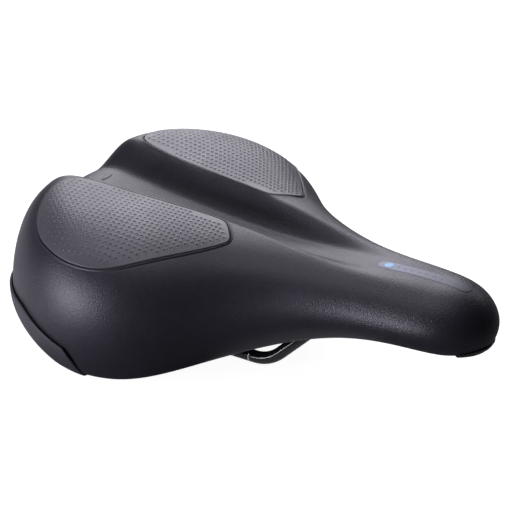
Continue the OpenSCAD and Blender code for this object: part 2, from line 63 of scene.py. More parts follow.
STATION_X0, STATION_STEP = -107.0, 46.0
STATIONS = {                                          # values at stations from rear to nose
    "floor": [72, 67.5, 63, 61, 64, 67.5, 64],        # height of the channel floor
    "lobe": [12, 10.5, 14, 13.5, 2.5, 0, 0],          # rise of the side lobes over it
    "channel": [37, 25, 23, 20.5, 18, 16, 14],        # half width of the channel
    "crown": [-1.3, -1.9, -1.4, 0.1, 2.2, 5, 7.9],    # fall across the width, per 1000 y^2
    "edge": [33, 32.5, 34.5, 38.5, 43.5, 45.5, 45],   # height where the top meets the skirt
    "skirt": [-4.5, -4.5, -4, 12.5, 29, 34, 31.5],    # height of the bottom edge
    "tuck": [19.5, 17.5, 14.5, 11, 9, 7, 5],          # inward reach of the skirt's foot
    "shoulder": [4.8, 4.2, 3.6, 3.2, 3.1, 3.2, 3.2],  # exponent of the rim's rounding
}
DOME_POWER, TUCK_POWER = 1.77, 2.14
SPINE_REAR, SPINE_NOSE, SPINE_BLEND = -71.0, 134.0, 30.0  # ends of the line rings shrink to
FLAT_SHARE, LOBE_FALL = 0.29, 0.03
COVER_T, GAP, SHELL_T = 1.3, 0.1, 2.5
INNER_RISE, EDGE_DROP = 0.6, 3  # lobe rise and lowered edge of the foam underside and the shell


def blend_cubic(a, b, c, d, u):
    """uniform cubic B-spline through four controls"""
    return ((1 - u) ** 3 * a + (3 * u**3 - 6 * u**2 + 4) * b
            + (-3 * u**3 + 3 * u**2 + 3 * u + 1) * c + u**3 * d) / 6


def spline(controls, t, count):
    t = np.clip(t, 0, count - 1 - 1e-9)
    i = np.floor(t).astype(int)
    return blend_cubic(*(controls[i + k] for k in range(4)), t - i)


def padded(values):
    v = np.asarray(values, float)
    return np.concatenate([[2 * v[0] - v[1]], v, [2 * v[-1] - v[-2]]])


CONTROLS = {key: padded(values) for key, values in STATIONS.items()}
PLAN_X = np.concatenate([[OUTLINE_X[1]], OUTLINE_X, [OUTLINE_X[-2]]]).astype(float)
PLAN_Y = np.concatenate([[-OUTLINE_Y[1]], OUTLINE_Y, [-OUTLINE_Y[-2]]]).astype(float)


def station(key, x):
    return spline(CONTROLS[key], (np.asarray(x, float) - STATION_X0) / STATION_STEP, 7)


def plan(t):
    return spline(PLAN_X, t, 12), spline(PLAN_Y, t, 12)


def soft_ramp(x):
    return 0.5 * (x + np.sqrt(x * x + SPINE_BLEND * SPINE_BLEND / 4))


def spine(x):
    """x of the centre that the outline point at x shrinks to"""
    return SPINE_REAR + soft_ramp(x - SPINE_REAR) - soft_ramp(x - SPINE_NOSE)


def crest(x, y, rise=1.0):
    """height of the top before it is rounded down to the edge"""
    k = np.abs(y) / station("channel", x)
    s = np.clip((k - FLAT_SHARE) / (1 - FLAT_SHARE), 0, 1)
    lobe = np.where(k < 1, (1 - np.cos(np.pi * s)) / 2, 1 - LOBE_FALL * (k - 1) ** 2)
    return station("floor", x) + rise * station("lobe", x) * lobe - station("crown", x) * y * y * 1e-3


def dome(share, shoulder):
    """1 at the spine, 0 at the rim"""
    return np.maximum(1 - share**shoulder, 0) ** (1 / DOME_POWER)


def locate(x, y):
    """share of the way from spine to outline, that full distance, and the outline's x"""
    x = np.asarray(x, float)
    v = np.maximum(np.abs(y), 0.05)
    low, high = np.zeros_like(x), np.full_like(x, T_NOSE)
    for _ in range(34):
        mid = (low + high) / 2
        ox, oy = plan(mid)
        cx = spine(ox)
        ahead = (x - cx) * oy - v * (ox - cx) > 0
        low, high = np.where(ahead, mid, low), np.where(ahead, high, mid)
    ox, oy = plan((low + high) / 2)
    cx = spine(ox)
    reach = np.hypot(ox - cx, oy)
    return np.hypot(x - cx, v) / (reach + 1e-9), reach, ox


def top_height(x, y):
    share, _, ox = locate(x, y)
    edge_z = station("edge", ox)
    rounding = dome(np.minimum(share, 1), station("shoulder", ox))
    return edge_z + (crest(x, np.maximum(np.abs(y), 0.05)) - edge_z) * rounding


def lifted(x, y, height):
    """point at a height above the seat top, along its normal, over plan point x, y"""
    x, y = np.asarray(x, float), np.asarray(y, float)
    e = 0.4
    z = top_height(x, y)
    slope_x = (top_height(x + e, y) - top_height(x - e, y)) / (2 * e)
    slope_y = (top_height(x, y + e) - top_height(x, y - e)) / (2 * e)
    length = np.sqrt(slope_x * slope_x + slope_y * slope_y + 1)
    return np.stack([x - slope_x * height / length, y - slope_y * height / length,
                     z + height / length], -1)


# The plan is stretched near the rim, so that equal steps are near equal on the surface.
STRETCH, STRETCH_POWER = 0.106, 9


def stretch(r):
    return r + STRETCH * r**STRETCH_POWER


def unstretch(q):
    r = np.array(q, float)
    for _ in range(12):
        slope = 1 + STRETCH * STRETCH_POWER * np.maximum(r, 0) ** (STRETCH_POWER - 1)
        r = r - (stretch(r) - q) / slope
    return r


def rescale(x, y, change):
    share, _, ox = locate(x, y)
    cx = spine(ox)
    k = change(share) / np.maximum(share, 1e-6)
    return cx + (x - cx) * k, y * k


def warp(x, y):
    return rescale(x, y, stretch)


def unwarp(x, y):
    return rescale(x, y, unstretch)


# ---- thicknesses of the layers under the cover ---------------------------------------
def foam_side(x):
    return 2.5 + 4.0 * np.clip((60 - x) / 140, 0, 1)


def foam_top(x):
    return 14 - 3.0 * np.clip((x + 20) / 80, 0, 1)


def shell_inset(x):
    return COVER_T + 2 * GAP + foam_side(x) + SHELL_T


def shell_drop(x):
    return foam_top(x) + 0.15 + SHELL_T + 0.1


# =====================================================================================
# Rings and lofts
# =====================================================================================
class Columns:
    """vertical sections at outline parameters t, on sides +1 (left) and -1 (right)"""

    def __init__(self, t, side):
        self.t, self.side = np.asarray(t, float), np.asarray(side, float)
        self.x, self.y = plan(self.t)
        self.spine_x = spine(self.x)
        reach = np.hypot(self.x - self.spine_x, self.y) + 1e-9
        self.out_x, self.out_y = (self.x - self.spine_x) / reach, self.y / reach
        self.shoulder, self.edge_z, self.skirt_z, self.tuck = (
            station(key, self.x) for key in ("shoulder", "edge", "skirt", "tuck"))
        self.height = self.edge_z - self.skirt_z
        self.wrap = shell_inset(self.x) + 0.45 + 1.2   # depth of the turned-in cover's inner face
        self.fold = np.minimum(9, 0.45 * self.height)  # height of the turned-in cover

    def ring(self, share, inset=0.0, drop=0.0, rise=1.0, edge_drop=0.0):
        """ring on the top at a share of the way from the spine to the rim"""
        ox, oy = self.x - self.out_x * inset, self.y - self.out_y * inset
        x, y = self.spine_x + (ox - self.spine_x) * share, oy * share
        edge_z = self.edge_z - edge_drop
        z = edge_z + (crest(x, y, rise) - drop - edge_z) * dome(share, self.shoulder)
        return np.stack([x, self.side * y, z], -1)

    def skirt(self, share, inset=0.0, lift=0.0, edge_drop=0.0):
        """ring at a share of the way down the skirt"""
        o = self.tuck * np.maximum(share, 0) ** TUCK_POWER + inset
        edge_z = self.edge_z - edge_drop
        return np.stack([self.x - self.out_x * o, self.side * (self.y - self.out_y * o),
                         edge_z + (self.skirt_z - edge_z) * share + lift], -1)

    def at(self, height, inset=0.0, lift=0.0, edge_drop=0.0):
        """skirt ring at a height above the bottom edge"""
        return self.skirt(1 - height / (self.height - edge_drop), inset, lift, edge_drop)


def full_turn(half):
    t = np.concatenate([np.linspace(0, T_NOSE, half + 1), np.linspace(T_NOSE, 0, half + 1)[1:-1]])
    return Columns(t, np.concatenate([np.ones(half + 1), -np.ones(half - 1)]))


def ring_quads(a, b, count):
    j = np.arange(count)
    k = (j + 1) % count
    return np.stack([a + j, a + k, b + k, b + j], -1).tolist()


def stack_quads(base, levels, count):
    quads = []
    for k in range(levels - 1):
        quads += ring_quads(base + k * count, base + (k + 1) * count, count)
    return quads


def closing(base, half, flip):
    """strip of faces that closes a ring of 2 * half points across the middle"""
    count = 2 * half
    strip = []
    for j in range(half):
        a, b = base + j, base + j + 1
        c, d = base + (count - j - 1) % count, base + (count - j) % count
        face = [a, c, b] if j == 0 else [a, d, b] if j == half - 1 else [a, d, c, b]
        strip.append(face[::-1] if flip else face)
    return strip


def closed_body(rings, half):
    count = 2 * half
    faces = stack_quads(0, len(rings), count)
    faces += closing(0, half, True) + closing((len(rings) - 1) * count, half, False)
    return np.vstack(rings), faces


def loft(sections):
    """closed tube with end caps; sections x points x 3"""
    n, w = sections.shape[:2]
    faces = []
    for i in range(n - 1):
        for k in range(w):
            k2 = (k + 1) % w
            faces.append([i * w + k, (i + 1) * w + k, (i + 1) * w + k2, i * w + k2])
    faces.append(list(range(w)))
    faces.append([(n - 1) * w + k for k in range(w - 1, -1, -1)])
    return sections.reshape(-1, 3), faces


def lathe(profile, cx, cy, segments):
    """closed profile of (radius, z) turned about a vertical axis"""
    p = np.asarray(profile, float)
    a = np.linspace(0, 2 * math.pi, segments, endpoint=False)[:, None]
    w = len(p)
    verts = np.stack([cx + p[None, :, 0] * np.cos(a), cy + p[None, :, 0] * np.sin(a),
                      np.broadcast_to(p[None, :, 1], (segments, w))], -1)
    faces = []
    for i in range(segments):
        j = (i + 1) % segments
        for k in range(w):
            k2 = (k + 1) % w
            faces.append([i * w + k, j * w + k, j * w + k2, i * w + k2])
    return verts.reshape(-1, 3), faces


def join(parts):
    verts, faces, offset = [], [], 0
    for part_verts, part_faces in parts:
        verts.append(part_verts)
        faces += [[i + offset for i in face] for face in part_faces]
        offset += len(part_verts)
    return np.vstack(verts), faces


def make(name, verts, faces, material, node, slot, sharp=None, body="seat"):
    """smooth object from millimetre points, in place of a CAD node"""
    me = bpy.data.meshes.new(name)
    me.from_pydata((np.asarray(verts, float) * 0.001).tolist(), [], faces)
    me.validate()
    bm = bmesh.new()
    bm.from_mesh(me)
    bmesh.ops.recalc_face_normals(bm, faces=bm.faces)
    bm.to_mesh(me)
    bm.free()
    me.polygons.foreach_set("use_smooth", [True] * len(me.polygons))
    if sharp:
        me.set_sharp_from_angle(angle=math.radians(sharp))
    me.materials.append(material)
    ob = bpy.data.objects.new(name, me)
    scene.collection.objects.link(ob)
    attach(ob, body)
    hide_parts(node)
    return ob


# =====================================================================================
# Materials: every one is built from nodes in object space, in metres
# =====================================================================================
BSDF_INPUTS = {
    "color": "Base Color", "rough": "Roughness", "metal": "Metallic", "normal": "Normal",
    "spec": "Specular IOR Level", "tint": "Specular Tint", "coat": "Coat Weight",
    "coat_rough": "Coat Roughness", "sheen": "Sheen Weight", "sheen_rough": "Sheen Roughness",
    "sheen_tint": "Sheen Tint",
}
NOISE_SPAN = (0.3, 0.7)  # where most noise values lie


class Mat:
    """a Principled material and short calls that add nodes and return their output"""

    def __init__(self, name):
        self.material = bpy.data.materials.new(name)
        self.material.use_nodes = True
        self.tree = self.material.node_tree
        self.tree.nodes.clear()
        self.out = self.node("OutputMaterial")
        self.bsdf = self.node("BsdfPrincipled")
        self.link(self.bsdf.outputs[0], self.out.inputs[0])
        self.coords = self.node("TexCoord").outputs["Object"]

    def node(self, kind, **settings):
        n = self.tree.nodes.new("ShaderNode" + kind)
        for key, value in settings.items():
            setattr(n, key, value)
        return n

    def link(self, source, target):
        self.tree.links.new(source, target)

    def put(self, socket, value):
        if isinstance(value, bpy.types.NodeSocket):
            self.link(value, socket)
        elif isinstance(value, tuple):
            socket.default_value = (*value, 1.0)
        else:
            socket.default_value = value

    def math(self, op, a, b=0.0):
        n = self.node("Math", operation=op)
        self.put(n.inputs[0], a)
        self.put(n.inputs[1], b)
        return n.outputs[0]

    def add(self, a, b):
        return self.math("ADD", a, b)

    def mul(self, a, b):
        return self.math("MULTIPLY", a, b)

    def noise(self, scale, detail=2.0, rough=0.5):
        n = self.node("TexNoise")
        self.link(self.coords, n.inputs["Vector"])
        n.inputs["Scale"].default_value = scale
        n.inputs["Detail"].default_value = detail
        n.inputs["Roughness"].default_value = rough
        return n.outputs["Fac"]

    def voronoi(self, scale, feature="F1"):
        n = self.node("TexVoronoi", feature=feature)
        self.link(self.coords, n.inputs["Vector"])
        n.inputs["Scale"].default_value = scale
        return n.outputs["Distance"]

    def ramp(self, value, span=NOISE_SPAN, to=(0.0, 1.0)):
        n = self.node("MapRange", clamp=True)
        self.link(value, n.inputs["Value"])
        for key, number in zip(("From Min", "From Max", "To Min", "To Max"), (*span, *to)):
            n.inputs[key].default_value = number
        return n.outputs["Result"]

    def mix(self, factor, a, b, blend="MIX"):
        n = self.node("Mix", data_type="RGBA", blend_type=blend)
        for index, value in ((0, factor), (6, a), (7, b)):
            self.put(n.inputs[index], value)
        return n.outputs[2]

    def axis(self, index):
        n = self.node("SeparateXYZ")
        self.link(self.coords, n.inputs[0])
        return n.outputs[index]

    def bump(self, height, distance, strength, under=None):
        n = self.node("Bump")
        n.inputs["Strength"].default_value = strength
        n.inputs["Distance"].default_value = distance
        self.link(height, n.inputs["Height"])
        if under is not None:
            self.link(under, n.inputs["Normal"])
        return n.outputs[0]

    def soft_edges(self, radius):
        n = self.node("Bevel", samples=4)
        n.inputs["Radius"].default_value = radius
        return n.outputs[0]

    def finish(self, **values):
        for key, value in values.items():
            self.put(self.bsdf.inputs[BSDF_INPUTS[key]], value)
        return self.material


def leather(name, dark, light, rough, cell, depth, spec, sheen, pebble):
    """soft synthetic leather: pebbled grain, fine pores, slow changes of tone and gloss

    cell is the grain size; depth and pebble are the bump heights of grain and undulation
    """
    m = Mat(name)
    slow = m.noise(scale=28, detail=3, rough=0.55)
    mid = m.noise(scale=240, rough=0.6)
    pebbles = m.voronoi(1 / cell, "SMOOTH_F1")
    fine = m.noise(scale=2.6 / cell, detail=3, rough=0.6)
    grain = m.add(m.mul(pebbles, 0.75), m.mul(fine, 0.6))
    tone = m.add(m.mul(slow, 0.6), m.mul(mid, 0.4))
    base = m.mix(m.ramp(tone), dark, light)
    pits = m.ramp(grain, span=(0.25, 0.75), to=(0.82, 1.08))
    color = m.mix(1.0, base, pits, blend="MULTIPLY")
    gloss = m.add(m.ramp(slow, to=rough), m.ramp(fine, to=(-0.04, 0.04)))
    waves = m.bump(m.noise(scale=1.15 / cell, detail=1.5, rough=0.6), pebble, strength=0.8)
    return m.finish(color=color, rough=gloss, normal=m.bump(grain, depth, 0.7, under=waves),
                    spec=spec, tint=(0.93, 0.905, 1.0), sheen=sheen, sheen_rough=0.45,
                    sheen_tint=(0.75, 0.74, 0.8))


def moulded(name, dark, light, rough, spec=0.5, bevel=None, speck=900.0):
    """moulded plastic with a spark-eroded texture"""
    m = Mat(name)
    slow = m.noise(scale=40, detail=3, rough=0.6)
    fine = m.noise(scale=speck, detail=3, rough=0.6)
    color = m.mix(m.ramp(slow), dark, light)
    under = m.soft_edges(bevel) if bevel else None
    gloss = m.add(m.ramp(slow, to=(rough - 0.05, rough + 0.05)), m.ramp(fine, to=(-0.05, 0.05)))
    return m.finish(color=color, rough=gloss, spec=spec, coat_rough=0.2,
                    normal=m.bump(fine, distance=0.00004, strength=0.6, under=under))


def rubber():
    m = Mat("damper_rubber")
    speck = m.voronoi(900)
    dust = m.noise(scale=60, detail=4, rough=0.6)
    color = m.mix(m.ramp(speck, span=(0.12, 0.3)), (0.07, 0.07, 0.075), (0.032, 0.032, 0.036))
    color = m.mix(m.ramp(dust, span=(0.35, 0.75)), color, (0.045, 0.045, 0.05))
    return m.finish(color=color, rough=m.ramp(dust, to=(0.62, 0.74)), spec=0.35,
                    normal=m.bump(m.noise(scale=1500, detail=3, rough=0.6), 0.00005, 0.6))


def foam(name, dark, light, cell):
    m = Mat(name)
    cells = m.voronoi(1 / cell)
    return m.finish(color=m.mix(m.ramp(cells, span=(0.1, 0.6)), dark, light), rough=0.9,
                    normal=m.bump(cells, distance=0.0002, strength=0.8), spec=0.2)


def rail_paint():
    """gloss paint over the wire, with a white scale along the straight runs"""
    m = Mat("rail_paint")
    x, y, z = m.axis(0), m.axis(1), m.axis(2)
    orange_peel = m.noise(scale=700)
    step = m.math("PINGPONG", m.add(x, 0.9945), 0.005)  # 0 every 10 mm
    tick = m.math("LESS_THAN", step, 0.00032)           # half width of a mark
    run = m.mul(m.math("LESS_THAN", m.math("ABSOLUTE", x), 0.0278),     # length of the scale
                m.math("GREATER_THAN", m.math("ABSOLUTE", y), 0.0236))  # outer side only
    side = m.mul(m.math("LESS_THAN", m.math("ABSOLUTE", z), 0.0022), 1.0)
    mark = m.mul(m.mul(tick, run), side)
    wear = m.ramp(m.noise(scale=420, detail=4, rough=0.65), span=(0.62, 0.72))
    color = m.mix(m.ramp(m.noise(scale=60)), (0.006, 0.006, 0.007), (0.010, 0.010, 0.012))
    ink = m.mul(mark, m.math("SUBTRACT", 1.0, m.mul(wear, 0.4)))
    return m.finish(color=m.mix(ink, color, (0.75, 0.75, 0.76)),
                    rough=m.ramp(mark, span=(0.0, 1.0), to=(0.16, 0.5)),
                    normal=m.bump(orange_peel, distance=0.00003, strength=0.35), spec=0.5,
                    coat=0.6, coat_rough=0.08)


def metal(name, dark, light, rough):
    m = Mat(name)
    brushed = m.noise(scale=900, detail=4, rough=0.6)
    slow = m.noise(scale=90, detail=3)
    return m.finish(color=m.mix(m.ramp(slow), dark, light), metal=1.0,
                    rough=m.ramp(brushed, span=(0.2, 0.8), to=(rough - 0.08, rough + 0.1)),
                    normal=m.bump(brushed, 0.00002, 0.5, under=m.soft_edges(0.00035)))


def badge_print():
    """printed bar that fades out towards the nose, with a plain row of small lozenges"""
    m = Mat("badge_print")
    x, y = m.axis(0), m.axis(1)
    fade = m.ramp(x, span=(0.106, 0.150))
    fine = m.noise(scale=1400)
    weave = m.voronoi(1500)
    color = m.mix(fade, (0.165, 0.180, 0.270), (0.020, 0.019, 0.027))
    color = m.mix(m.ramp(fine, span=(0.35, 0.7), to=(0.0, 0.2)), color, (0.085, 0.085, 0.125))
    along = m.math("PINGPONG", m.add(x, 0.9963), 0.0022)  # 0 in each lozenge, every 4.4 mm
    # lozenge-shaped distance from the middle of each mark
    reach = m.add(m.mul(along, 0.72), m.math("ABSOLUTE", m.math("SUBTRACT", y, 0.0)))
    row = m.mul(m.math("GREATER_THAN", x, 0.1035), m.math("LESS_THAN", x, 0.1455))
    mark = m.mul(m.ramp(reach, span=(0.00105, 0.00125), to=(1.0, 0.0)), row)
    hole = m.ramp(reach, span=(0.00045, 0.00062))
    mark = m.mul(m.mul(mark, hole), m.ramp(x, span=(0.125, 0.147), to=(1.0, 0.35)))
    return m.finish(color=m.mix(mark, color, (0.022, 0.020, 0.042)),
                    rough=m.ramp(fine, to=(0.44, 0.54)),
                    normal=m.bump(weave, distance=0.00004, strength=0.5), spec=0.42)


def flat_print(name, dark, light, rough):
    m = Mat(name)
    fine = m.noise(scale=1600)
    return m.finish(color=m.mix(m.ramp(fine), dark, light), rough=rough,
                    normal=m.bump(fine, distance=0.00003, strength=0.5), spec=0.4)


M_COVER = leather("cover_leather", dark=(0.0122, 0.0112, 0.0170), light=(0.0170, 0.0157, 0.0230),
                  rough=(0.39, 0.47), cell=0.0009, depth=0.00012, spec=0.42, sheen=0.03,
                  pebble=0.00020)
M_PANEL = leather("panel_leather", dark=(0.043, 0.041, 0.050), light=(0.052, 0.050, 0.060),
                  rough=(0.43, 0.51), cell=0.0006, depth=0.00005, spec=0.66, sheen=0.10,
                  pebble=0.00008)
# painted reflection: this base colour is lighter than the black rubber's own and stands in for the
# white floor reflected in the bumper
M_BUMPER = moulded("bumper_rubber", dark=(0.026, 0.025, 0.034), light=(0.034, 0.033, 0.043),
                   rough=0.55, spec=0.45)
M_GUARD = moulded("guard_plastic", dark=(0.008, 0.008, 0.010), light=(0.012, 0.012, 0.014),
                  rough=0.28)
M_SHELL = moulded("shell_plastic", dark=(0.012, 0.012, 0.013), light=(0.018, 0.018, 0.019),
                  rough=0.45, speck=600.0)
M_NYLON = moulded("nylon_black", dark=(0.011, 0.011, 0.012), light=(0.016, 0.016, 0.017),
                  rough=0.42, bevel=0.0005)
M_BUSH = moulded("bush_nylon", dark=(0.42, 0.40, 0.35), light=(0.50, 0.48, 0.42),
                 rough=0.38, bevel=0.0003)
M_RUBBER = rubber()
M_FOAM = foam("moulded_foam", dark=(0.55, 0.50, 0.33), light=(0.66, 0.61, 0.43), cell=0.0009)
M_MEMORY = foam("memory_foam", dark=(0.74, 0.70, 0.60), light=(0.80, 0.77, 0.68), cell=0.0006)
M_RAIL = rail_paint()
M_ZINC = metal("zinc_steel", dark=(0.52, 0.53, 0.55), light=(0.62, 0.63, 0.65), rough=0.32)
M_BRASS = metal("brass", dark=(0.62, 0.44, 0.18), light=(0.72, 0.52, 0.24), rough=0.30)
M_BADGE = badge_print()
M_DOT = flat_print("dot_print", dark=(0.16, 0.40, 0.72), light=(0.22, 0.47, 0.80), rough=0.45)
M_TAB = flat_print("tab_print", dark=(0.10, 0.098, 0.112), light=(0.13, 0.128, 0.145), rough=0.50)

# =====================================================================================
# Patches on the seat top: loops and fill points meshed in the stretched plan
# =====================================================================================
# spline controls of the left grip panel's outline, x and y
PANEL = np.array([
    [-90, 33], [-89.5, 53], [-83, 71], [-73, 83], [-59, 90], [-42, 93.5], [-20.5, 88],
    [-2, 66.5], [11, 50], [18, 40], [20.5, 35], [17.5, 31], [11.5, 25], [8, 21.5],
    [0, 21.7], [-14, 22.6], [-44, 25], [-78, 28]], float)


def loop_points(controls, n):
    k = len(controls)
    t = np.arange(n) * k / n
    i = np.floor(t).astype(int)
    return blend_cubic(*(controls[(i + j) % k] for j in (-1, 0, 1, 2)), (t - i)[:, None])


def resample(loop, step):
    q = np.vstack([loop, loop[:1]])
    s = np.concatenate([[0], np.cumsum(np.hypot(*np.diff(q, axis=0).T))])
    u = np.linspace(0, s[-1], int(round(s[-1] / step)), endpoint=False)
    return np.stack([np.interp(u, s, q[:, 0]), np.interp(u, s, q[:, 1])], -1)


def loop_normals(p):
    """outward normals of a closed loop"""
    d = np.roll(p, -1, 0) - np.roll(p, 1, 0)
    d /= np.hypot(d[:, 0], d[:, 1])[:, None]
    n = np.stack([-d[:, 1], d[:, 0]], -1)
    area = 0.5 * np.sum(p[:, 0] * np.roll(p[:, 1], -1) - np.roll(p[:, 0], -1) * p[:, 1])
    return n if area < 0 else -n


def signed_distance(points, loop):
    """distance to a closed polyline, positive outside"""
    out = np.empty(len(points))
    a, b = loop, np.roll(loop, -1, 0)
    ab = b - a
    length_sq = (ab**2).sum(1)
    rise = np.where(ab[:, 1] == 0, 1e-12, ab[:, 1])
    for s in range(0, len(points), 4000):
        p = points[s:s + 4000]
        ap = p[:, None, :] - a[None]
        u = np.clip((ap * ab[None]).sum(-1) / length_sq[None], 0, 1)
        d = np.hypot(ap[..., 0] - u * ab[None, :, 0], ap[..., 1] - u * ab[None, :, 1]).min(1)
        spans = (a[None, :, 1] > p[:, None, 1]) != (b[None, :, 1] > p[:, None, 1])
        cross_x = a[None, :, 0] + (p[:, None, 1] - a[None, :, 1]) * ab[None, :, 0] / rise[None]
        inside = (spans & (p[:, None, 0] < cross_x)).sum(1) % 2 == 1
        out[s:s + 4000] = np.where(inside, -d, d)
    return out


def hex_fill(loop, step):
    """triangular grid over the loop's bounding box"""
    low, high = loop.min(0), loop.max(0)
    rows = []
    for k, y in enumerate(np.arange(low[1], high[1], step * math.sqrt(3) / 2)):
        x = np.arange(low[0] + (step / 2 if k % 2 else 0), high[0], step)
        rows.append(np.stack([x, np.full_like(x, y)], -1))
    return np.vstack(rows)


def fill_inside(loop, step, margin):
    fill = hex_fill(loop, step)
    return fill[signed_distance(fill, loop) < -margin]


def triangulate(points, loops):
    """faces over 2-D points, kept inside the outermost loop"""
    edges = [(int(a), int(b)) for loop in loops for a, b in zip(loop, np.roll(loop, -1))]
    flat = [Vector((float(p[0]), float(p[1]))) for p in points]
    verts, _, triangles, origins, _, _ = delaunay_2d_cdt(flat, edges, [], 1, 1e-6)
    back = np.full(len(verts), -1)
    for i, origin in enumerate(origins):
        if origin:
            back[i] = origin[0]
    for i in np.where(back < 0)[0]:  # a point made where edges cross takes the nearest input
        gaps = np.hypot(points[:, 0] - verts[i].x, points[:, 1] - verts[i].y)
        back[i] = int(np.argmin(gaps))
    faces = []
    for t in triangles:
        t = [int(back[i]) for i in t]
        if len(set(t)) < 3:
            continue
        a, b, c = (points[i] for i in t)
        area = (b[0] - a[0]) * (c[1] - a[1]) - (b[1] - a[1]) * (c[0] - a[0])
        faces.append(t if area > 0 else t[::-1])
    return faces


def compact(verts, faces):
    """drop the points that no face uses"""
    used = np.unique(np.concatenate([np.asarray(f) for f in faces]))
    new = np.full(len(verts), -1)
    new[used] = np.arange(len(used))
    return verts[used], [[int(new[i]) for i in f] for f in faces]


def smooth(v):
    v = np.clip(v, 0, 1)
    return v * v * (3 - 2 * v)


def bell(d, centre, width):
    return np.exp(-(((d - centre) / width) ** 2))


def outer_side(y):
    """0 along the channel, 1 along the outer and rear edges"""
    return smooth((np.abs(y) - 27.0) / 8.0)


# profiles across the panel's edge: d is the distance outside the panel's outline
def cover_profile(d, x, y):
    k = outer_side(y)
    front = smooth((x + 48) / 40)
    groove = 0.5 * (np.tanh((d + 0.95) / 0.12) - np.tanh((d - 0.06) / 0.07))
    flush = 0.40 * bell(np.maximum(d - 0.2, 0), 0, 1.5) * 0.5 * (1 + np.tanh((d - 0.02) / 0.05))
    return (-0.66 * k * groove + (1 - k) * flush
            + (0.12 + 0.42 * front) * k * bell(d, 0.56, 0.34)        # lip on the outer side
            + (0.06 + 0.16 * front) * (1 - k) * bell(d, 0.50, 0.30)  # lip along the channel
            - 0.12 * k * front * bell(d, 1.36, 0.24))                # hollow beyond the lip


def panel_profile(d, x, y):
    return 0.42 - (0.02 + 0.46 * outer_side(y)) * bell(d, -0.32, 0.20)


PANEL_WARPED = np.stack(warp(*loop_points(PANEL, 1400).T), -1)
PANEL_LOOP = resample(PANEL_WARPED, 1.15)
PANEL_FINE = resample(PANEL_WARPED, 0.45)

# ---- cover ---------------------------------------------------------------------------
COVER_HALF = 230         # columns along each side
TOP_SHARE = 0.955        # the triangulated top ends at this ring
OUTER_FOLD, INNER_FOLD = 2.6, 1.9  # radii where the cover turns under and up again
STAPLES = np.array([4.6, 5.3, 6.0, 6.7, 7.4, 8.1, 8.8, 9.5])  # outline parameters
COVER_LOOPS = [          # distances outside the panel's outline
    -1.9, -1.3, -1.1, -0.95, -0.8, -0.3, -0.06, 0.0, 0.06, 0.12, 0.2, 0.3, 0.42, 0.54, 0.66, 0.8,
    0.96, 1.1, 1.24, 1.36, 1.48, 1.62, 1.82, 2.1, 2.5, 3.0]


def cover_top(cols):
    """points and faces of the top; the rim ring comes first"""
    rim = cols.ring(TOP_SHARE)
    bound = np.stack(warp(rim[:, 0], rim[:, 1]), -1)
    n = len(bound)
    points, distances, loops = [bound], [np.full(n, 99.0)], [np.arange(n)]
    normals = loop_normals(PANEL_LOOP)
    for side in (1, -1):
        for d in COVER_LOOPS:
            loop = (PANEL_LOOP + normals * d) * np.array([1, side])
            points.append(loop)
            distances.append(np.full(len(loop), d))
            loops.append(np.arange(n, n + len(loop)))
            n += len(loop)
    fill = hex_fill(bound, 2.1)
    fill = fill + 0.05 * np.sin(fill[:, ::-1] * 3.1)
    fill = fill[signed_distance(fill, bound) < -1.3]
    gap = np.minimum(*(signed_distance(fill * np.array([1, s]), PANEL_FINE) for s in (1, -1)))
    keep = (gap > 3.7) | (gap < -3.2)
    points, distances = np.vstack(points + [fill[keep]]), np.concatenate(distances + [gap[keep]])
    faces = triangulate(points, loops)
    x, y = unwarp(points[:, 0], points[:, 1])
    verts = lifted(x, y, cover_profile(distances, x, y))
    verts[:len(rim)] = rim
    return verts, faces


def edge_slack(t):
    """the turned-in edge is tight at each staple and stands off a little between them"""
    near = bell(t[:, None], STAPLES[None], 0.13).max(1)
    slack = (0.75 * (1 - near) * (0.65 + 0.35 * np.sin(t * 23 + 1.3 * np.sin(t * 7)))
             * (1 - bell(t, T_NOSE, 0.35)))
    return np.where(t > 4.2, slack, 0.25 * (1 + np.sin(t * 19)))


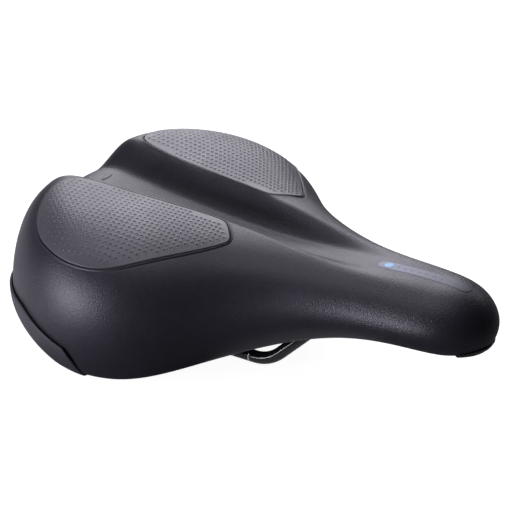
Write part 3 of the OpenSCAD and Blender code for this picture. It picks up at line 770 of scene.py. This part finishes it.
def cover_sides(cols):
    """rings from the rim down the skirt, round the folded edge and back under the top"""
    at, wrap, fold, height = cols.at, cols.wrap, cols.fold, cols.height
    # the fold hangs a little below the foam
    sag = 0.6 * smooth((cols.t - 4.15) / 0.5) * smooth((10.15 - cols.t) / 0.4)
    slack = edge_slack(cols.t)
    rings = [cols.ring(r) for r in (0.966, 0.976, 0.985, 0.992, 0.9975, 1.0)]
    rings += [at(height + (OUTER_FOLD - height) * k) for k in np.linspace(0, 1, 30)[1:]]
    for a in np.radians(np.linspace(0, 90, 7)[1:]):
        rings.append(at(OUTER_FOLD * (1 - np.sin(a)) - sag * np.sin(a),
                        OUTER_FOLD * (1 - np.cos(a))))
    for k in (0.25, 0.5, 0.75):
        rings.append(at(-sag, OUTER_FOLD + (wrap - INNER_FOLD - OUTER_FOLD) * k,
                        0.12 * math.sin(math.pi * k)))
    for a in np.radians(np.linspace(0, 90, 6)):
        rings.append(at(INNER_FOLD * (1 - np.cos(a)) - sag * np.cos(a),
                        wrap - INNER_FOLD + INNER_FOLD * np.sin(a) + slack * 0.3 * np.sin(a)))

    def flap(k, depth):
        return at(INNER_FOLD + (fold - INNER_FOLD) * k, depth + slack * (0.3 + 0.7 * k))

    rings += [flap(k, wrap) for k in np.linspace(0, 1, 5)[1:]]
    rings += [at(fold + 0.35, wrap - 0.25 + slack), at(fold + 0.35, wrap - 0.85 + slack),
              at(fold, wrap - 1.15 + slack)]
    rings += [flap(k, wrap - 1.2) for k in (0.66, 0.33, 0.0)]
    rings += [at(1.3, wrap - 1.9), at(1.3, 2.4), at(2.2, 1.45)]
    rings += [at(4 + (height - 4) * k, COVER_T) for k in np.linspace(0, 1, 9)]
    under = [0.99, 0.975, 0.955, 0.93, 0.9, 0.87, 0.84] + list(np.arange(0.80, 0.03, -0.03))
    return rings + [cols.ring(r, COVER_T, COVER_T) for r in under]


def build_cover():
    cols = full_turn(COVER_HALF)
    count = 2 * COVER_HALF
    top, faces = cover_top(cols)
    rings = cover_sides(cols)
    base = len(top)
    faces += ring_quads(0, base, count) + stack_quads(base, len(rings), count)
    faces += closing(base + (len(rings) - 1) * count, COVER_HALF, False)
    verts, faces = compact(np.vstack([top] + rings), faces)
    make("seat_cover", verts, faces, M_COVER, "cover", "cover_black")


# ---- patches -------------------------------------------------------------------------
def build_patch(name, outline, distances, top, bottom, fill, material, slot, node,
                mirror=1, extra=None):
    """closed thin patch: top and bottom skins joined round the rim

    distances are edge loops from the outline inwards; extra holds points and their heights
    """
    normals = loop_normals(outline)
    k = len(outline)
    points = [outline + normals * d for d in distances]
    d = [np.full(k, distance) for distance in distances]
    loops = [np.arange(i * k, (i + 1) * k) for i in range(len(distances))]
    points.append(fill)
    d.append(signed_distance(fill, outline))
    heights = np.zeros(sum(len(p) for p in points))
    if extra is not None:
        points.append(extra[0])
        d.append(signed_distance(extra[0], outline))
        heights = np.concatenate([heights, extra[1]])
    plan_top = np.vstack(points)
    faces = triangulate(plan_top, loops)
    x, y = unwarp(plan_top[:, 0], plan_top[:, 1])
    top_verts = lifted(x, y * mirror, top(np.concatenate(d), x, y) + heights)

    first, last = distances[0], distances[-1]
    inner = fill_inside(outline, 3.5, 1.0 - last)
    coarse = np.vstack([points[0], outline + normals * last, inner])
    d = np.concatenate([np.full(k, first), np.full(k, last), signed_distance(inner, outline)])
    under = triangulate(coarse, [np.arange(k), np.arange(k, 2 * k)])
    x, y = unwarp(coarse[:, 0], coarse[:, 1])
    bottom_verts = lifted(x, y * mirror, bottom(d, x, y))
    o = len(top_verts)
    faces += [[i + o for i in f][::-1] for f in under]
    faces += [[j, (j + 1) % k, o + (j + 1) % k, o + j] for j in range(k)]
    verts, faces = compact(np.vstack([top_verts, bottom_verts]), faces)
    make(name, verts, faces, material, node, slot)


# Dimples lie where two phases are both whole numbers. The coefficients are of
# u, v, uv, v^2, u^2, u^2 v and u v^2, with u = x / 50 and v = (y - 50) / 50.
ROW_PHASE = (2.93, 16.46, 3.05, 1.58, 0.70, 0.98, -0.27)
FILE_PHASE = (17.76, -3.27, -1.37, -0.50, 1.12, -0.15, -1.36)
DIMPLE_RINGS = (  # radius, points, height
    (0.0, 1, -0.31), (0.34, 6, -0.27), (0.60, 8, -0.13),
    (0.82, 10, 0.03), (1.04, 12, 0.11), (1.30, 12, 0.0))


def phase(c, x, y):
    """phase and its slopes in x and y"""
    x, y = x / 50, (y - 50) / 50
    value = (c[0] * x + c[1] * y + c[2] * x * y + c[3] * y * y + c[4] * x * x
             + c[5] * x * x * y + c[6] * x * y * y)
    slope_x = (c[0] + c[2] * y + 2 * c[4] * x + 2 * c[5] * x * y + c[6] * y * y) / 50
    slope_y = (c[1] + c[2] * x + 2 * c[3] * y + c[5] * x * x + 2 * c[6] * x * y) / 50
    return value, slope_x, slope_y


def dimples():
    """recessed dots with a small raised rim: points, heights and centres"""
    x, y = (v.ravel() for v in np.meshgrid(np.arange(-92, 22, 1.3), np.arange(18, 96, 1.3)))
    row, file = np.round(phase(ROW_PHASE, x, y)[0]), np.round(phase(FILE_PHASE, x, y)[0])
    for _ in range(8):
        p, px, py = phase(ROW_PHASE, x, y)
        q, qx, qy = phase(FILE_PHASE, x, y)
        det = px * qy - py * qx
        x, y = (x + ((row - p) * qy - (file - q) * py) / det,
                y + ((file - q) * px - (row - p) * qx) / det)
    first = np.unique(np.stack([row, file], -1), axis=0, return_index=True)[1]
    x, y = x[first], y[first]
    centres = np.stack(warp(x, y), -1)
    keep = signed_distance(centres, PANEL_FINE) < -3.0
    centres, x = centres[keep], x[keep]
    depth = 0.72 + 0.28 * smooth((x + 78) / 85)  # shallower towards the rear
    points, heights = [], []
    for radius, count, height in DIMPLE_RINGS:
        for i in range(count):
            a = 2 * math.pi * (i + 0.5 * (count == 12)) / count
            points.append(centres + radius * np.array([math.cos(a), math.sin(a)]))
            heights.append(height * depth)
    return np.vstack(points), np.concatenate(heights), centres


def build_panels():
    points, heights, centres = dimples()
    fill = hex_fill(PANEL_LOOP, 1.5)
    fill = fill[signed_distance(fill, PANEL_FINE) < -2.4]
    nearest = np.full(len(fill), 99.0)
    for s in range(0, len(fill), 2000):
        gap = fill[s:s + 2000, None] - centres[None]
        nearest[s:s + 2000] = np.hypot(gap[..., 0], gap[..., 1]).min(1)
    fill = fill[nearest > 1.58]
    distances = [-0.32, -0.36, -0.42, -0.5, -0.6, -0.72, -0.88, -1.08, -1.34, -1.65]
    for side, mirror in (("left", 1), ("right", -1)):
        build_patch("grip_panel_" + side, PANEL_LOOP, distances, panel_profile,
                    lambda d, x, y: cover_profile(d, x, y) + 0.02, fill,
                    M_PANEL, "panel_grey", "panel_" + side, mirror, (points, heights))


def capsule(x_rear, x_front, radius, step):
    n = int((x_front - x_rear) / step)
    m = int(math.pi * radius / step) + 2
    length = x_front - x_rear
    turn = [math.pi * i / m for i in range(1, m)]
    left = [[x_rear + length * i / n, radius] for i in range(n + 1)]
    front = [[x_front + radius * math.sin(a), radius * math.cos(a)] for a in turn]
    right = [[x_front - length * i / n, -radius] for i in range(n + 1)]
    rear = [[x_rear - radius * math.sin(a), -radius * math.cos(a)] for a in turn]
    return np.array(left + front + right + rear)


def ellipse(cx, radius_x, radius_y):
    a = np.linspace(0, -2 * math.pi, 40, endpoint=False)
    return np.stack([cx + radius_x * np.cos(a), radius_y * np.sin(a)], -1)


def build_label(name, shape, step, margin, distances, height, dip, dip_width, base,
                material, node):
    """thin print on the centre line, its top dipping at the rim"""
    outline = np.stack(warp(*shape.T), -1)
    build_patch(name, outline, distances,
                lambda d, x, y: height - dip * bell(d, 0, dip_width), lambda d, x, y: base,
                fill_inside(outline, step, margin), material, "badge_grey", node)


def build_labels():
    build_label("nose_label", capsule(96, 144, radius=4.0, step=0.8), step=0.9, margin=1.0,
                distances=[0.0, -0.08, -0.18, -0.32, -0.55], height=0.17, dip=0.09,
                dip_width=0.25, base=0.03, material=M_BADGE, node="nose_badge")
    build_label("nose_label_dot", ellipse(98.4, 2.7, 2.7), step=0.6, margin=0.6,
                distances=[0.0, -0.07, -0.16, -0.3], height=0.30, dip=0.08,
                dip_width=0.16, base=0.15, material=M_DOT, node="nose_badge")
    build_label("rear_mark", ellipse(-88, 1.2, 4.7), step=0.5, margin=0.62,
                distances=[0.0, -0.08, -0.18, -0.3, -0.45], height=0.42, dip=0.32,
                dip_width=0.28, base=0.02, material=M_TAB, node="rear_tab")


# ---- edge trims: rear bumper and nose guard ------------------------------------------
OUTER_FOOT, INNER_FOOT = 1.7, 1.4  # radii of the trims' lower corners


def grip_section(cols, upper, proud, gap, leg, inner_gap, rounding, lip=0.0, thinning=0.0):
    """closed sections of a trim that clips over the bottom edge

    upper is the skirt share of its upper edge, proud how far it stands off the cover
    """
    at, wrap = cols.at, cols.wrap
    top = (1 - upper) * cols.height
    leg = np.minimum(leg, 0.42 * cols.height)
    seam = gap + lip
    points = [at(top - k * rounding, -seam - (proud - seam) * share)
              for k, share in ((0.0, 0), (0.06, 0.5), (0.28, 0.82), (0.7, 0.96))]
    points.append(at(top - 1.5 * rounding, -proud))
    for k in np.linspace(0, 1, 14)[1:]:
        points.append(at((top - 1.5 * rounding) * (1 - k) + OUTER_FOOT * k,
                         -proud * (1 - thinning * k * k * (3 - 2 * k))))
    proud = proud * (1 - thinning)
    radius = OUTER_FOOT + proud
    for a in np.radians((15, 30, 45, 60, 75, 90)):
        points.append(at(0.0, -proud + radius * (1 - np.cos(a)), OUTER_FOOT - radius * np.sin(a)))
    inner = wrap + inner_gap + proud * 0.8
    for k in (0.33, 0.66):
        points.append(at(0.0, OUTER_FOOT + (inner - INNER_FOOT - OUTER_FOOT) * k, -proud))
    for a in np.radians((0, 22, 45, 68, 90)):
        points.append(at(0.0, inner - INNER_FOOT + INNER_FOOT * np.sin(a),
                         -proud + INNER_FOOT * (1 - np.cos(a))))
    points += [at(leg * k, inner) for k in (0.3, 0.6, 0.85)]
    points += [at(leg, wrap + inner_gap + proud * k) for k in (0.65, 0.15)]
    points += [at(leg * k, wrap + inner_gap) for k in (0.85, 0.4, 0.1)]
    points += [at(0.0, inset, -gap) for inset in (wrap + inner_gap - 0.8, wrap * 0.5, 0.4)]
    points += [at(1.0 + (top - 3.2) * k, -gap) for k in np.linspace(0, 1, 10)]
    for k in (2.0, 1.6, 0.9, 0.35):  # a shadow gap opens towards the upper edge
        opening = 0.5 + 0.5 * np.cos(np.pi * max(0.0, (k - 1.0)) / 1.2)
        points.append(at(top - k, -gap - lip * opening))
    return np.stack(points, 1)


def rounded_end(share):
    """quarter-circle rise from 0 at a trim's end"""
    return np.sqrt(np.maximum(0, 1 - (1 - np.clip(share, 0, 1)) ** 2))


BUMPER_BODY, BUMPER_TIP = 3.9, 0.18  # outline parameters: evenly stepped part, finer end
BUMPER_END = BUMPER_BODY + BUMPER_TIP


def bumper_top(k):
    """skirt share of the bumper's upper edge, k running from 0 at the rear to 1 at the end"""
    bend = k - 0.745
    end = np.maximum(0, (k - 0.975) / 0.025)
    return 0.012 + 0.86 * (bend + np.sqrt(bend * bend + 0.0009)) + 0.2 * end * end


def build_bumper():
    tip = BUMPER_BODY + BUMPER_TIP * np.sin(np.linspace(0, np.pi / 2, 22))[1:]
    t = np.concatenate([np.linspace(0, BUMPER_BODY, 90), tip])
    t = np.concatenate([-t[:0:-1], t])
    cols = Columns(np.abs(t), np.where(t < 0, -1.0, 1.0))
    proud = 0.7 + 1.4 * rounded_end((BUMPER_END - np.abs(t)) / 0.045)
    gap = 0.35
    sections = grip_section(cols, bumper_top(np.abs(t) / BUMPER_END), proud, gap, leg=8.0,
                            inner_gap=1.0, rounding=1.0,
                            lip=np.minimum(0.60, (proud - gap) * 0.5), thinning=0.5)
    make("bumper", *loft(sections), M_BUMPER, "rear_bumper", "bumper_black", sharp=50)


def build_guard():
    u = np.linspace(-1, 1, 81)
    cols = Columns(T_NOSE - np.abs(u) * 0.84, np.where(u < 0, -1.0, 1.0))
    proud = 0.35 + 0.60 * rounded_end((1 - np.abs(u)) / 0.06)
    sections = grip_section(cols, 0.66 + 0.17 * u * u, proud, gap=0.25, leg=5.0,
                            inner_gap=0.5, rounding=0.55)
    make("nose_trim", *loft(sections), M_GUARD, "nose_guard", "guard_black", sharp=50)


# ---- foam layers under the cover -----------------------------------------------------
FOAM_HALF = 130
FOAM_INSET = COVER_T + GAP
FOAM_SLACK = 0.3      # the layers sit a little under the stretched cover
TOPPER_T = 8
FOOT = 1.45           # height of the foam's and shell's bottom edge above the skirt's
INNER_SHARES = list(np.arange(0.03, 0.80, 0.03))


def build_topper(cols):
    q = FOAM_INSET
    rings = [cols.ring(r, q, q + FOAM_SLACK) for r in INNER_SHARES + [0.80]]
    rings += [cols.ring(r, q, q + drop)
              for r, drop in ((0.822, 0.9), (0.829, 3.0), (0.829, 6.0), (0.82, 7.8))]
    rings += [cols.ring(r, q, q + TOPPER_T) for r in INNER_SHARES[::-1]]
    make("memory_foam_layer", *closed_body(rings, FOAM_HALF), M_MEMORY,
         "memory_foam_topper", "memory_foam", sharp=60)


def build_foam(cols):
    q = FOAM_INSET
    down = [0.1, 0.2, 0.32, 0.44, 0.56, 0.68, 0.8, 0.9]
    rings = [cols.ring(r, q, q + GAP + TOPPER_T + FOAM_SLACK) for r in INNER_SHARES + [0.8315]]
    rings += [cols.ring(0.8335, q, q + 4), cols.ring(0.838, q, q + FOAM_SLACK)]
    rings += [cols.ring(r, q, q + FOAM_SLACK) for r in (0.87, 0.91, 0.945, 0.97, 0.988, 1.0)]
    rings += [cols.skirt(f, q) for f in down] + [cols.at(FOOT + 1, q), cols.at(FOOT, q + 0.6)]
    inner = q + foam_side(cols.x)
    rings += [cols.at(FOOT, inner - 0.4, edge_drop=EDGE_DROP),
              cols.at(FOOT + 1, inner, edge_drop=EDGE_DROP)]
    rings += [cols.skirt(f, inner, edge_drop=EDGE_DROP) for f in down[::-1]]
    back = [1.0, 0.988, 0.97, 0.945, 0.91, 0.87] + list(np.arange(0.81, 0.02, -0.03))
    rings += [cols.ring(r, inner, foam_top(cols.x), INNER_RISE, EDGE_DROP) for r in back]
    make("foam_body", *closed_body(rings, FOAM_HALF), M_FOAM, "foam_pad", "foam", sharp=60)


# ---- base shell ----------------------------------------------------------------------
SHELL_HALF = 150
DAMPER_X, DAMPER_Y = -73, 35  # dampers stand at +-y
SCREW_X, SCREW_PITCH = 134, 9.5
TOWER = [  # radius and z
    (4.52, 39.5), (4.9, 39.02), (6.8, 39.02), (7.2, 39.5), (7.2, 52), (7.5, 55), (8.6, 57.5),
    (10.5, 59.5), (10.5, 60.6), (0.02, 60.6), (0.02, 50.2), (4.52, 50.2)]
NOSE_BOSS = [
    (1.52, 46.4), (1.9, 46.08), (3.9, 46.08), (4.2, 46.4), (4.2, 50.5), (5.2, 52), (7, 53),
    (0.02, 53), (0.02, 51.5), (1.52, 51.5)]
RIBS = [  # plan ends and depth
    ((-52, 24), (70, 13), 4.5), ((-52, -24), (70, -13), 4.5), ((-58, 0), (60, 0), 3.5),
    ((-40, -62), (-40, 62), 3.5), ((-8, -52), (-8, 52), 3.5), ((24, -34), (24, 34), 3.5),
    ((52, -24), (52, 24), 3.0), ((-92, -44), (-92, 44), 3.0)]
RIB_WIDTH, RIB_TAPER, RIB_BURY = 1.8, 0.86, 0.9
# share of the width, share of the depth; None is buried in the shell
RIB_SECTION = ((-0.5, 0), (-0.44, 0.86), (-0.30, 1.0), (0.30, 1.0), (0.44, 0.86), (0.5, 0),
               (0.5, None), (-0.5, None))


def shell_under(x, y):
    """height of the shell's inner face over a plan point"""
    share, reach, ox = locate(x, y)
    share = np.minimum(share * reach / (reach - shell_inset(ox)), 0.999)
    edge_z = station("edge", ox) - EDGE_DROP
    return edge_z + ((crest(x, np.abs(y), INNER_RISE) - shell_drop(ox) - edge_z)
                     * dome(share, station("shoulder", ox)))


def rib(start, end, depth):
    """reinforcing rib under the shell between two plan points"""
    u = np.linspace(0, 1, 40)
    start, end = np.array(start, float), np.array(end, float)
    line = start + (end - start) * u[:, None]
    along = (end - start) / np.hypot(*(end - start))
    across = np.array([-along[1], along[0]])
    depth = depth * np.sqrt(np.clip(1 - (2 * u - 1) ** 8, 0, 1)) + 0.02
    section = []
    for offset, share in RIB_SECTION:
        x, y = (line + across * offset * RIB_WIDTH * (RIB_TAPER if share else 1)).T
        z = shell_under(x, y)
        z = z + RIB_BURY if share is None else z + 0.05 - depth * share
        section.append(np.stack([x, y, z], -1))
    return loft(np.stack(section, 1))


def gusset(cy, angle):
    """upright web from a damper tower out to the shell"""
    direction = np.array([math.cos(angle), math.sin(angle)])
    near, far = (np.array([DAMPER_X, cy]) + r * direction for r in (6.9, 15.5))
    half = np.array([-direction[1], direction[0]]) * 0.9
    near_z, far_z = (float(shell_under(p[:1], p[1:])[0]) + 0.8 for p in (near, far))
    verts = [[*(near - half), 42.5], [*(near + half), 42.5],
             [*(far + half), far_z - 3.0], [*(far - half), far_z - 3.0],
             [*(near - half), near_z], [*(near + half), near_z],
             [*(far + half), far_z], [*(far - half), far_z]]
    return np.array(verts), [[0, 1, 2, 3], [4, 7, 6, 5], [0, 4, 5, 1],
                             [1, 5, 6, 2], [2, 6, 7, 3], [3, 7, 4, 0]]


def shell_body():
    cols = full_turn(SHELL_HALF)
    inner = shell_inset(cols.x)
    outer = COVER_T + 2 * GAP + foam_side(cols.x)
    shares = [0.04, 0.12, 0.22, 0.32, 0.42, 0.52, 0.6, 0.68, 0.75, 0.81, 0.865, 0.91, 0.945,
              0.97, 0.988, 0.997, 1.0]
    down = [0.06, 0.13, 0.2, 0.28, 0.36, 0.44, 0.52, 0.6, 0.68, 0.76, 0.84, 0.9]
    rings = [cols.ring(r, outer, foam_top(cols.x) + 0.15, INNER_RISE, EDGE_DROP) for r in shares]
    rings += [cols.skirt(f, outer, edge_drop=EDGE_DROP) for f in down]
    rings += [cols.at(height, inset, edge_drop=EDGE_DROP) for height, inset in (
        (2.6, outer), (1.75, outer + 0.25), (FOOT, outer + 0.8),
        (FOOT, inner - 0.8), (1.75, inner - 0.25), (2.6, inner))]
    rings += [cols.skirt(f, inner, edge_drop=EDGE_DROP) for f in down[::-1]]
    rings += [cols.ring(r, inner, shell_drop(cols.x), INNER_RISE, EDGE_DROP)
              for r in shares[::-1]]
    return closed_body(rings, SHELL_HALF)


def build_shell():
    parts = [shell_body()]
    for side in (-1, 1):
        parts.append(lathe(TOWER, DAMPER_X, side * DAMPER_Y, 64))
        parts += [gusset(side * DAMPER_Y, math.pi * (i / 2 + 0.25)) for i in range(4)]
        parts.append(lathe(NOSE_BOSS, SCREW_X + side * SCREW_PITCH, 0, 40))
    parts += [rib(*ends_and_depth) for ends_and_depth in RIBS]
    make("saddle_base", *join(parts), M_SHELL, "base_shell", "shell_black", sharp=38)


# ---- dampers -------------------------------------------------------------------------
DAMPER_RADIUS, DAMPER_BORE = 13.0, 4.5
DAMPER_BOTTOM, DAMPER_TOP = 13.02, 36.98
GROOVE_Z, GROOVE_PITCH = 8.7, 6.4  # first groove above the bottom, and the next


def damper_radius(z):
    up = z - DAMPER_BOTTOM
    grooves = sum(2.6 * math.exp(-(((up - at) / 1.25) ** 4))
                  for at in (GROOVE_Z, GROOVE_Z + GROOVE_PITCH))
    middle = (DAMPER_TOP - DAMPER_BOTTOM) / 2
    bulge = 0.125 * math.cos((up - middle) * 2 * math.pi / GROOVE_PITCH)
    return DAMPER_RADIUS - grooves - 0.25 + bulge


def build_dampers():
    r, bore, low, high = DAMPER_RADIUS, DAMPER_BORE, DAMPER_BOTTOM, DAMPER_TOP
    profile = [(bore, low + 0.5), (5.0, low), (r - 1.0, low), (r - 0.3, low + 0.3), (r, low + 1.1)]
    profile += [(damper_radius(z), z) for z in np.linspace(low + 1.6, high - 1.6, 60)]
    profile += [(r, high - 1.1), (r - 0.3, high - 0.3), (r - 1.0, high), (5.0, high),
                (bore, high - 0.5)]
    for side, sign in (("left", 1), ("right", -1)):
        ob = make("damper_" + side, *lathe(profile, DAMPER_X, sign * DAMPER_Y, 96), M_RUBBER,
                  "elastomer_" + side, "elastomer", sharp=60, body="undercarriage")
        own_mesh(ob)


build_cover()
build_panels()
build_labels()
build_bumper()
build_guard()
foam_columns = full_turn(FOAM_HALF)
build_topper(foam_columns)
build_foam(foam_columns)
build_shell()
build_dampers()

# ---- CAD parts that stay, with their finishes ----------------------------------------
for material, nodes in (
        (M_RAIL, ("rail_wire",)),
        (M_NYLON, ("rear_bridge", "nose_block", "nose_cap", "damper_cups")),
        (M_BUSH, ("nose_bush",)),
        (M_ZINC, ("nose_screws", "damper_bolts", "damper_washers", "cover_staples")),
        (M_BRASS, ("shell_inserts",))):
    for node in nodes:
        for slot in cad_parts[node].material_slots:
            slot.material = material

# =====================================================================================
# Stage: pale floor, soft studio light, camera to the front right
# =====================================================================================
FLOOR_RADIUS, FLOOR_Z, FLOOR_SIDES = 12.0, -0.0072, 96


def floor_material():
    """near white when seen directly, but throws back less light; clear from below"""
    m = Mat("floor_white")
    m.finish(color=(0.30, 0.30, 0.305), rough=0.9, spec=0.1)
    m.bsdf.inputs["Emission Color"].default_value = (1, 1, 1, 1)
    m.bsdf.inputs["Emission Strength"].default_value = 0.95
    geometry, light_path = m.node("NewGeometry"), m.node("LightPath")
    bounce = m.node("BsdfDiffuse")
    rear_right = m.add(m.mul(m.axis(0), -0.72), m.mul(m.axis(1), -0.69))
    m.link(m.mix(m.ramp(rear_right, span=(0.09, 0.20)), (0.20, 0.20, 0.21), (0.85, 0.85, 0.88)),
           bounce.inputs[0])

    def switch(factor, off, on):
        n = m.node("MixShader")
        for socket, source in zip(n.inputs, (factor, off, on)):
            m.link(source, socket)
        return n.outputs[0]

    above = switch(light_path.outputs["Is Camera Ray"], bounce.outputs[0], m.bsdf.outputs[0])
    clear = m.node("BsdfTransparent")
    m.link(switch(geometry.outputs["Backfacing"], above, clear.outputs[0]), m.out.inputs[0])
    return m.material


def build_floor():
    me = bpy.data.meshes.new("floor")
    n = FLOOR_SIDES
    angles = [2 * math.pi * i / n for i in range(n)]
    rim = [(FLOOR_RADIUS * math.cos(a), FLOOR_RADIUS * math.sin(a), FLOOR_Z) for a in angles]
    me.from_pydata([(0, 0, FLOOR_Z)] + rim, [], [(0, 1 + i, 1 + (i + 1) % n) for i in range(n)])
    ob = bpy.data.objects.new("floor", me)
    scene.collection.objects.link(ob)
    me.materials.append(floor_material())


def build_world():
    """bright to the camera, dim as a light"""
    w = bpy.data.worlds.new("studio")
    scene.world = w
    w.use_nodes = True
    nodes, links = w.node_tree.nodes, w.node_tree.links
    nodes.clear()
    out = nodes.new("ShaderNodeOutputWorld")
    mix = nodes.new("ShaderNodeMixShader")
    light_path = nodes.new("ShaderNodeLightPath")
    links.new(light_path.outputs["Is Camera Ray"], mix.inputs[0])
    for index, strength in ((1, 0.03), (2, 1.0)):
        background = nodes.new("ShaderNodeBackground")
        background.inputs[0].default_value = (1, 1, 1, 1)
        background.inputs[1].default_value = strength
        links.new(background.outputs[0], mix.inputs[index])
    links.new(mix.outputs[0], out.inputs[0])


def softbox(name, at, aim, size, power):
    light = bpy.data.lights.new(name, "AREA")
    light.shape = "RECTANGLE"
    light.size, light.size_y = size
    light.energy = power
    light.color = (1.0, 0.985, 1.05)
    light.spread = math.radians(180)
    ob = bpy.data.objects.new(name, light)
    ob.location = at
    ob.rotation_mode = "QUATERNION"
    ob.rotation_quaternion = (Vector(aim) - Vector(at)).to_track_quat("-Z", "Y")
    scene.collection.objects.link(ob)
    return ob


def stand(name, bearing, elevation, power, size=(0.7, 0.7), distance=1.5, z=None,
          aim=(0.02, 0.0, 0.03)):
    """softbox at a bearing as the camera sees it: 0 beyond the saddle, 90 to the right"""
    a, e = math.radians(bearing), math.radians(elevation)
    away, right = Vector((-0.5559, 0.8312, 0)), Vector((0.8312, 0.5559, 0))
    level = (away * math.cos(a) + right * math.sin(a)) * math.cos(e)
    at = (level + Vector((0, 0, math.sin(e)))) * distance
    if z is not None:
        at.z = z
    softbox(name, at, aim, size, power)


def build_lights():
    stand("back_high", bearing=0, elevation=62, power=6.2)
    stand("back_mid", bearing=0, elevation=35, power=8.4)
    stand("back_low", bearing=0, elevation=8, power=3.4)
    stand("left_low", bearing=238, elevation=3, power=7.2, size=(0.46, 0.24), distance=0.90,
          z=0.14, aim=(-0.05, -0.08, 0.02))
    stand("right_back", bearing=45, elevation=35, power=2.2)
    softbox("top_near", at=(0.02, -0.11, 0.38), aim=(0.01, 0.0, 0.06), size=(0.34, 0.16),
            power=0.44)
    under = softbox("under", at=(0.0, 0.0, -0.003), aim=(0.0, 0.0, 1.0), size=(0.18, 0.10),
                    power=0.012)
    under.visible_camera = False


def build_camera():
    # azimuth turns from -Y towards +X; the position is along the camera's own axes
    azimuth, elevation, roll = (math.radians(a) for a in (33.778, 25.359, 0.339))
    right_shift, up_shift, distance = 0.010759, 0.040778, 1.538156
    back = Vector((math.sin(azimuth) * math.cos(elevation),
                   -math.cos(azimuth) * math.cos(elevation), math.sin(elevation)))
    level = Vector((math.cos(azimuth), math.sin(azimuth), 0))
    upright = back.cross(level)
    right = level * math.cos(roll) + upright * math.sin(roll)
    up = -level * math.sin(roll) + upright * math.cos(roll)
    data = bpy.data.cameras.new("camera")
    data.sensor_width = 36.0
    data.lens = 194.789718
    data.clip_start, data.clip_end = 0.05, 60.0
    camera = bpy.data.objects.new("camera", data)
    scene.collection.objects.link(camera)
    pose = Matrix((right, up, back)).transposed().to_4x4()
    pose.translation = right * right_shift + up * up_shift + back * distance
    camera.matrix_world = pose
    scene.camera = camera


build_floor()
build_world()
build_lights()
build_camera()
scene.view_settings.view_transform = "Standard"
scene.view_settings.look = "None"
scene.view_settings.exposure = 0.0
scene.view_settings.gamma = 1.0
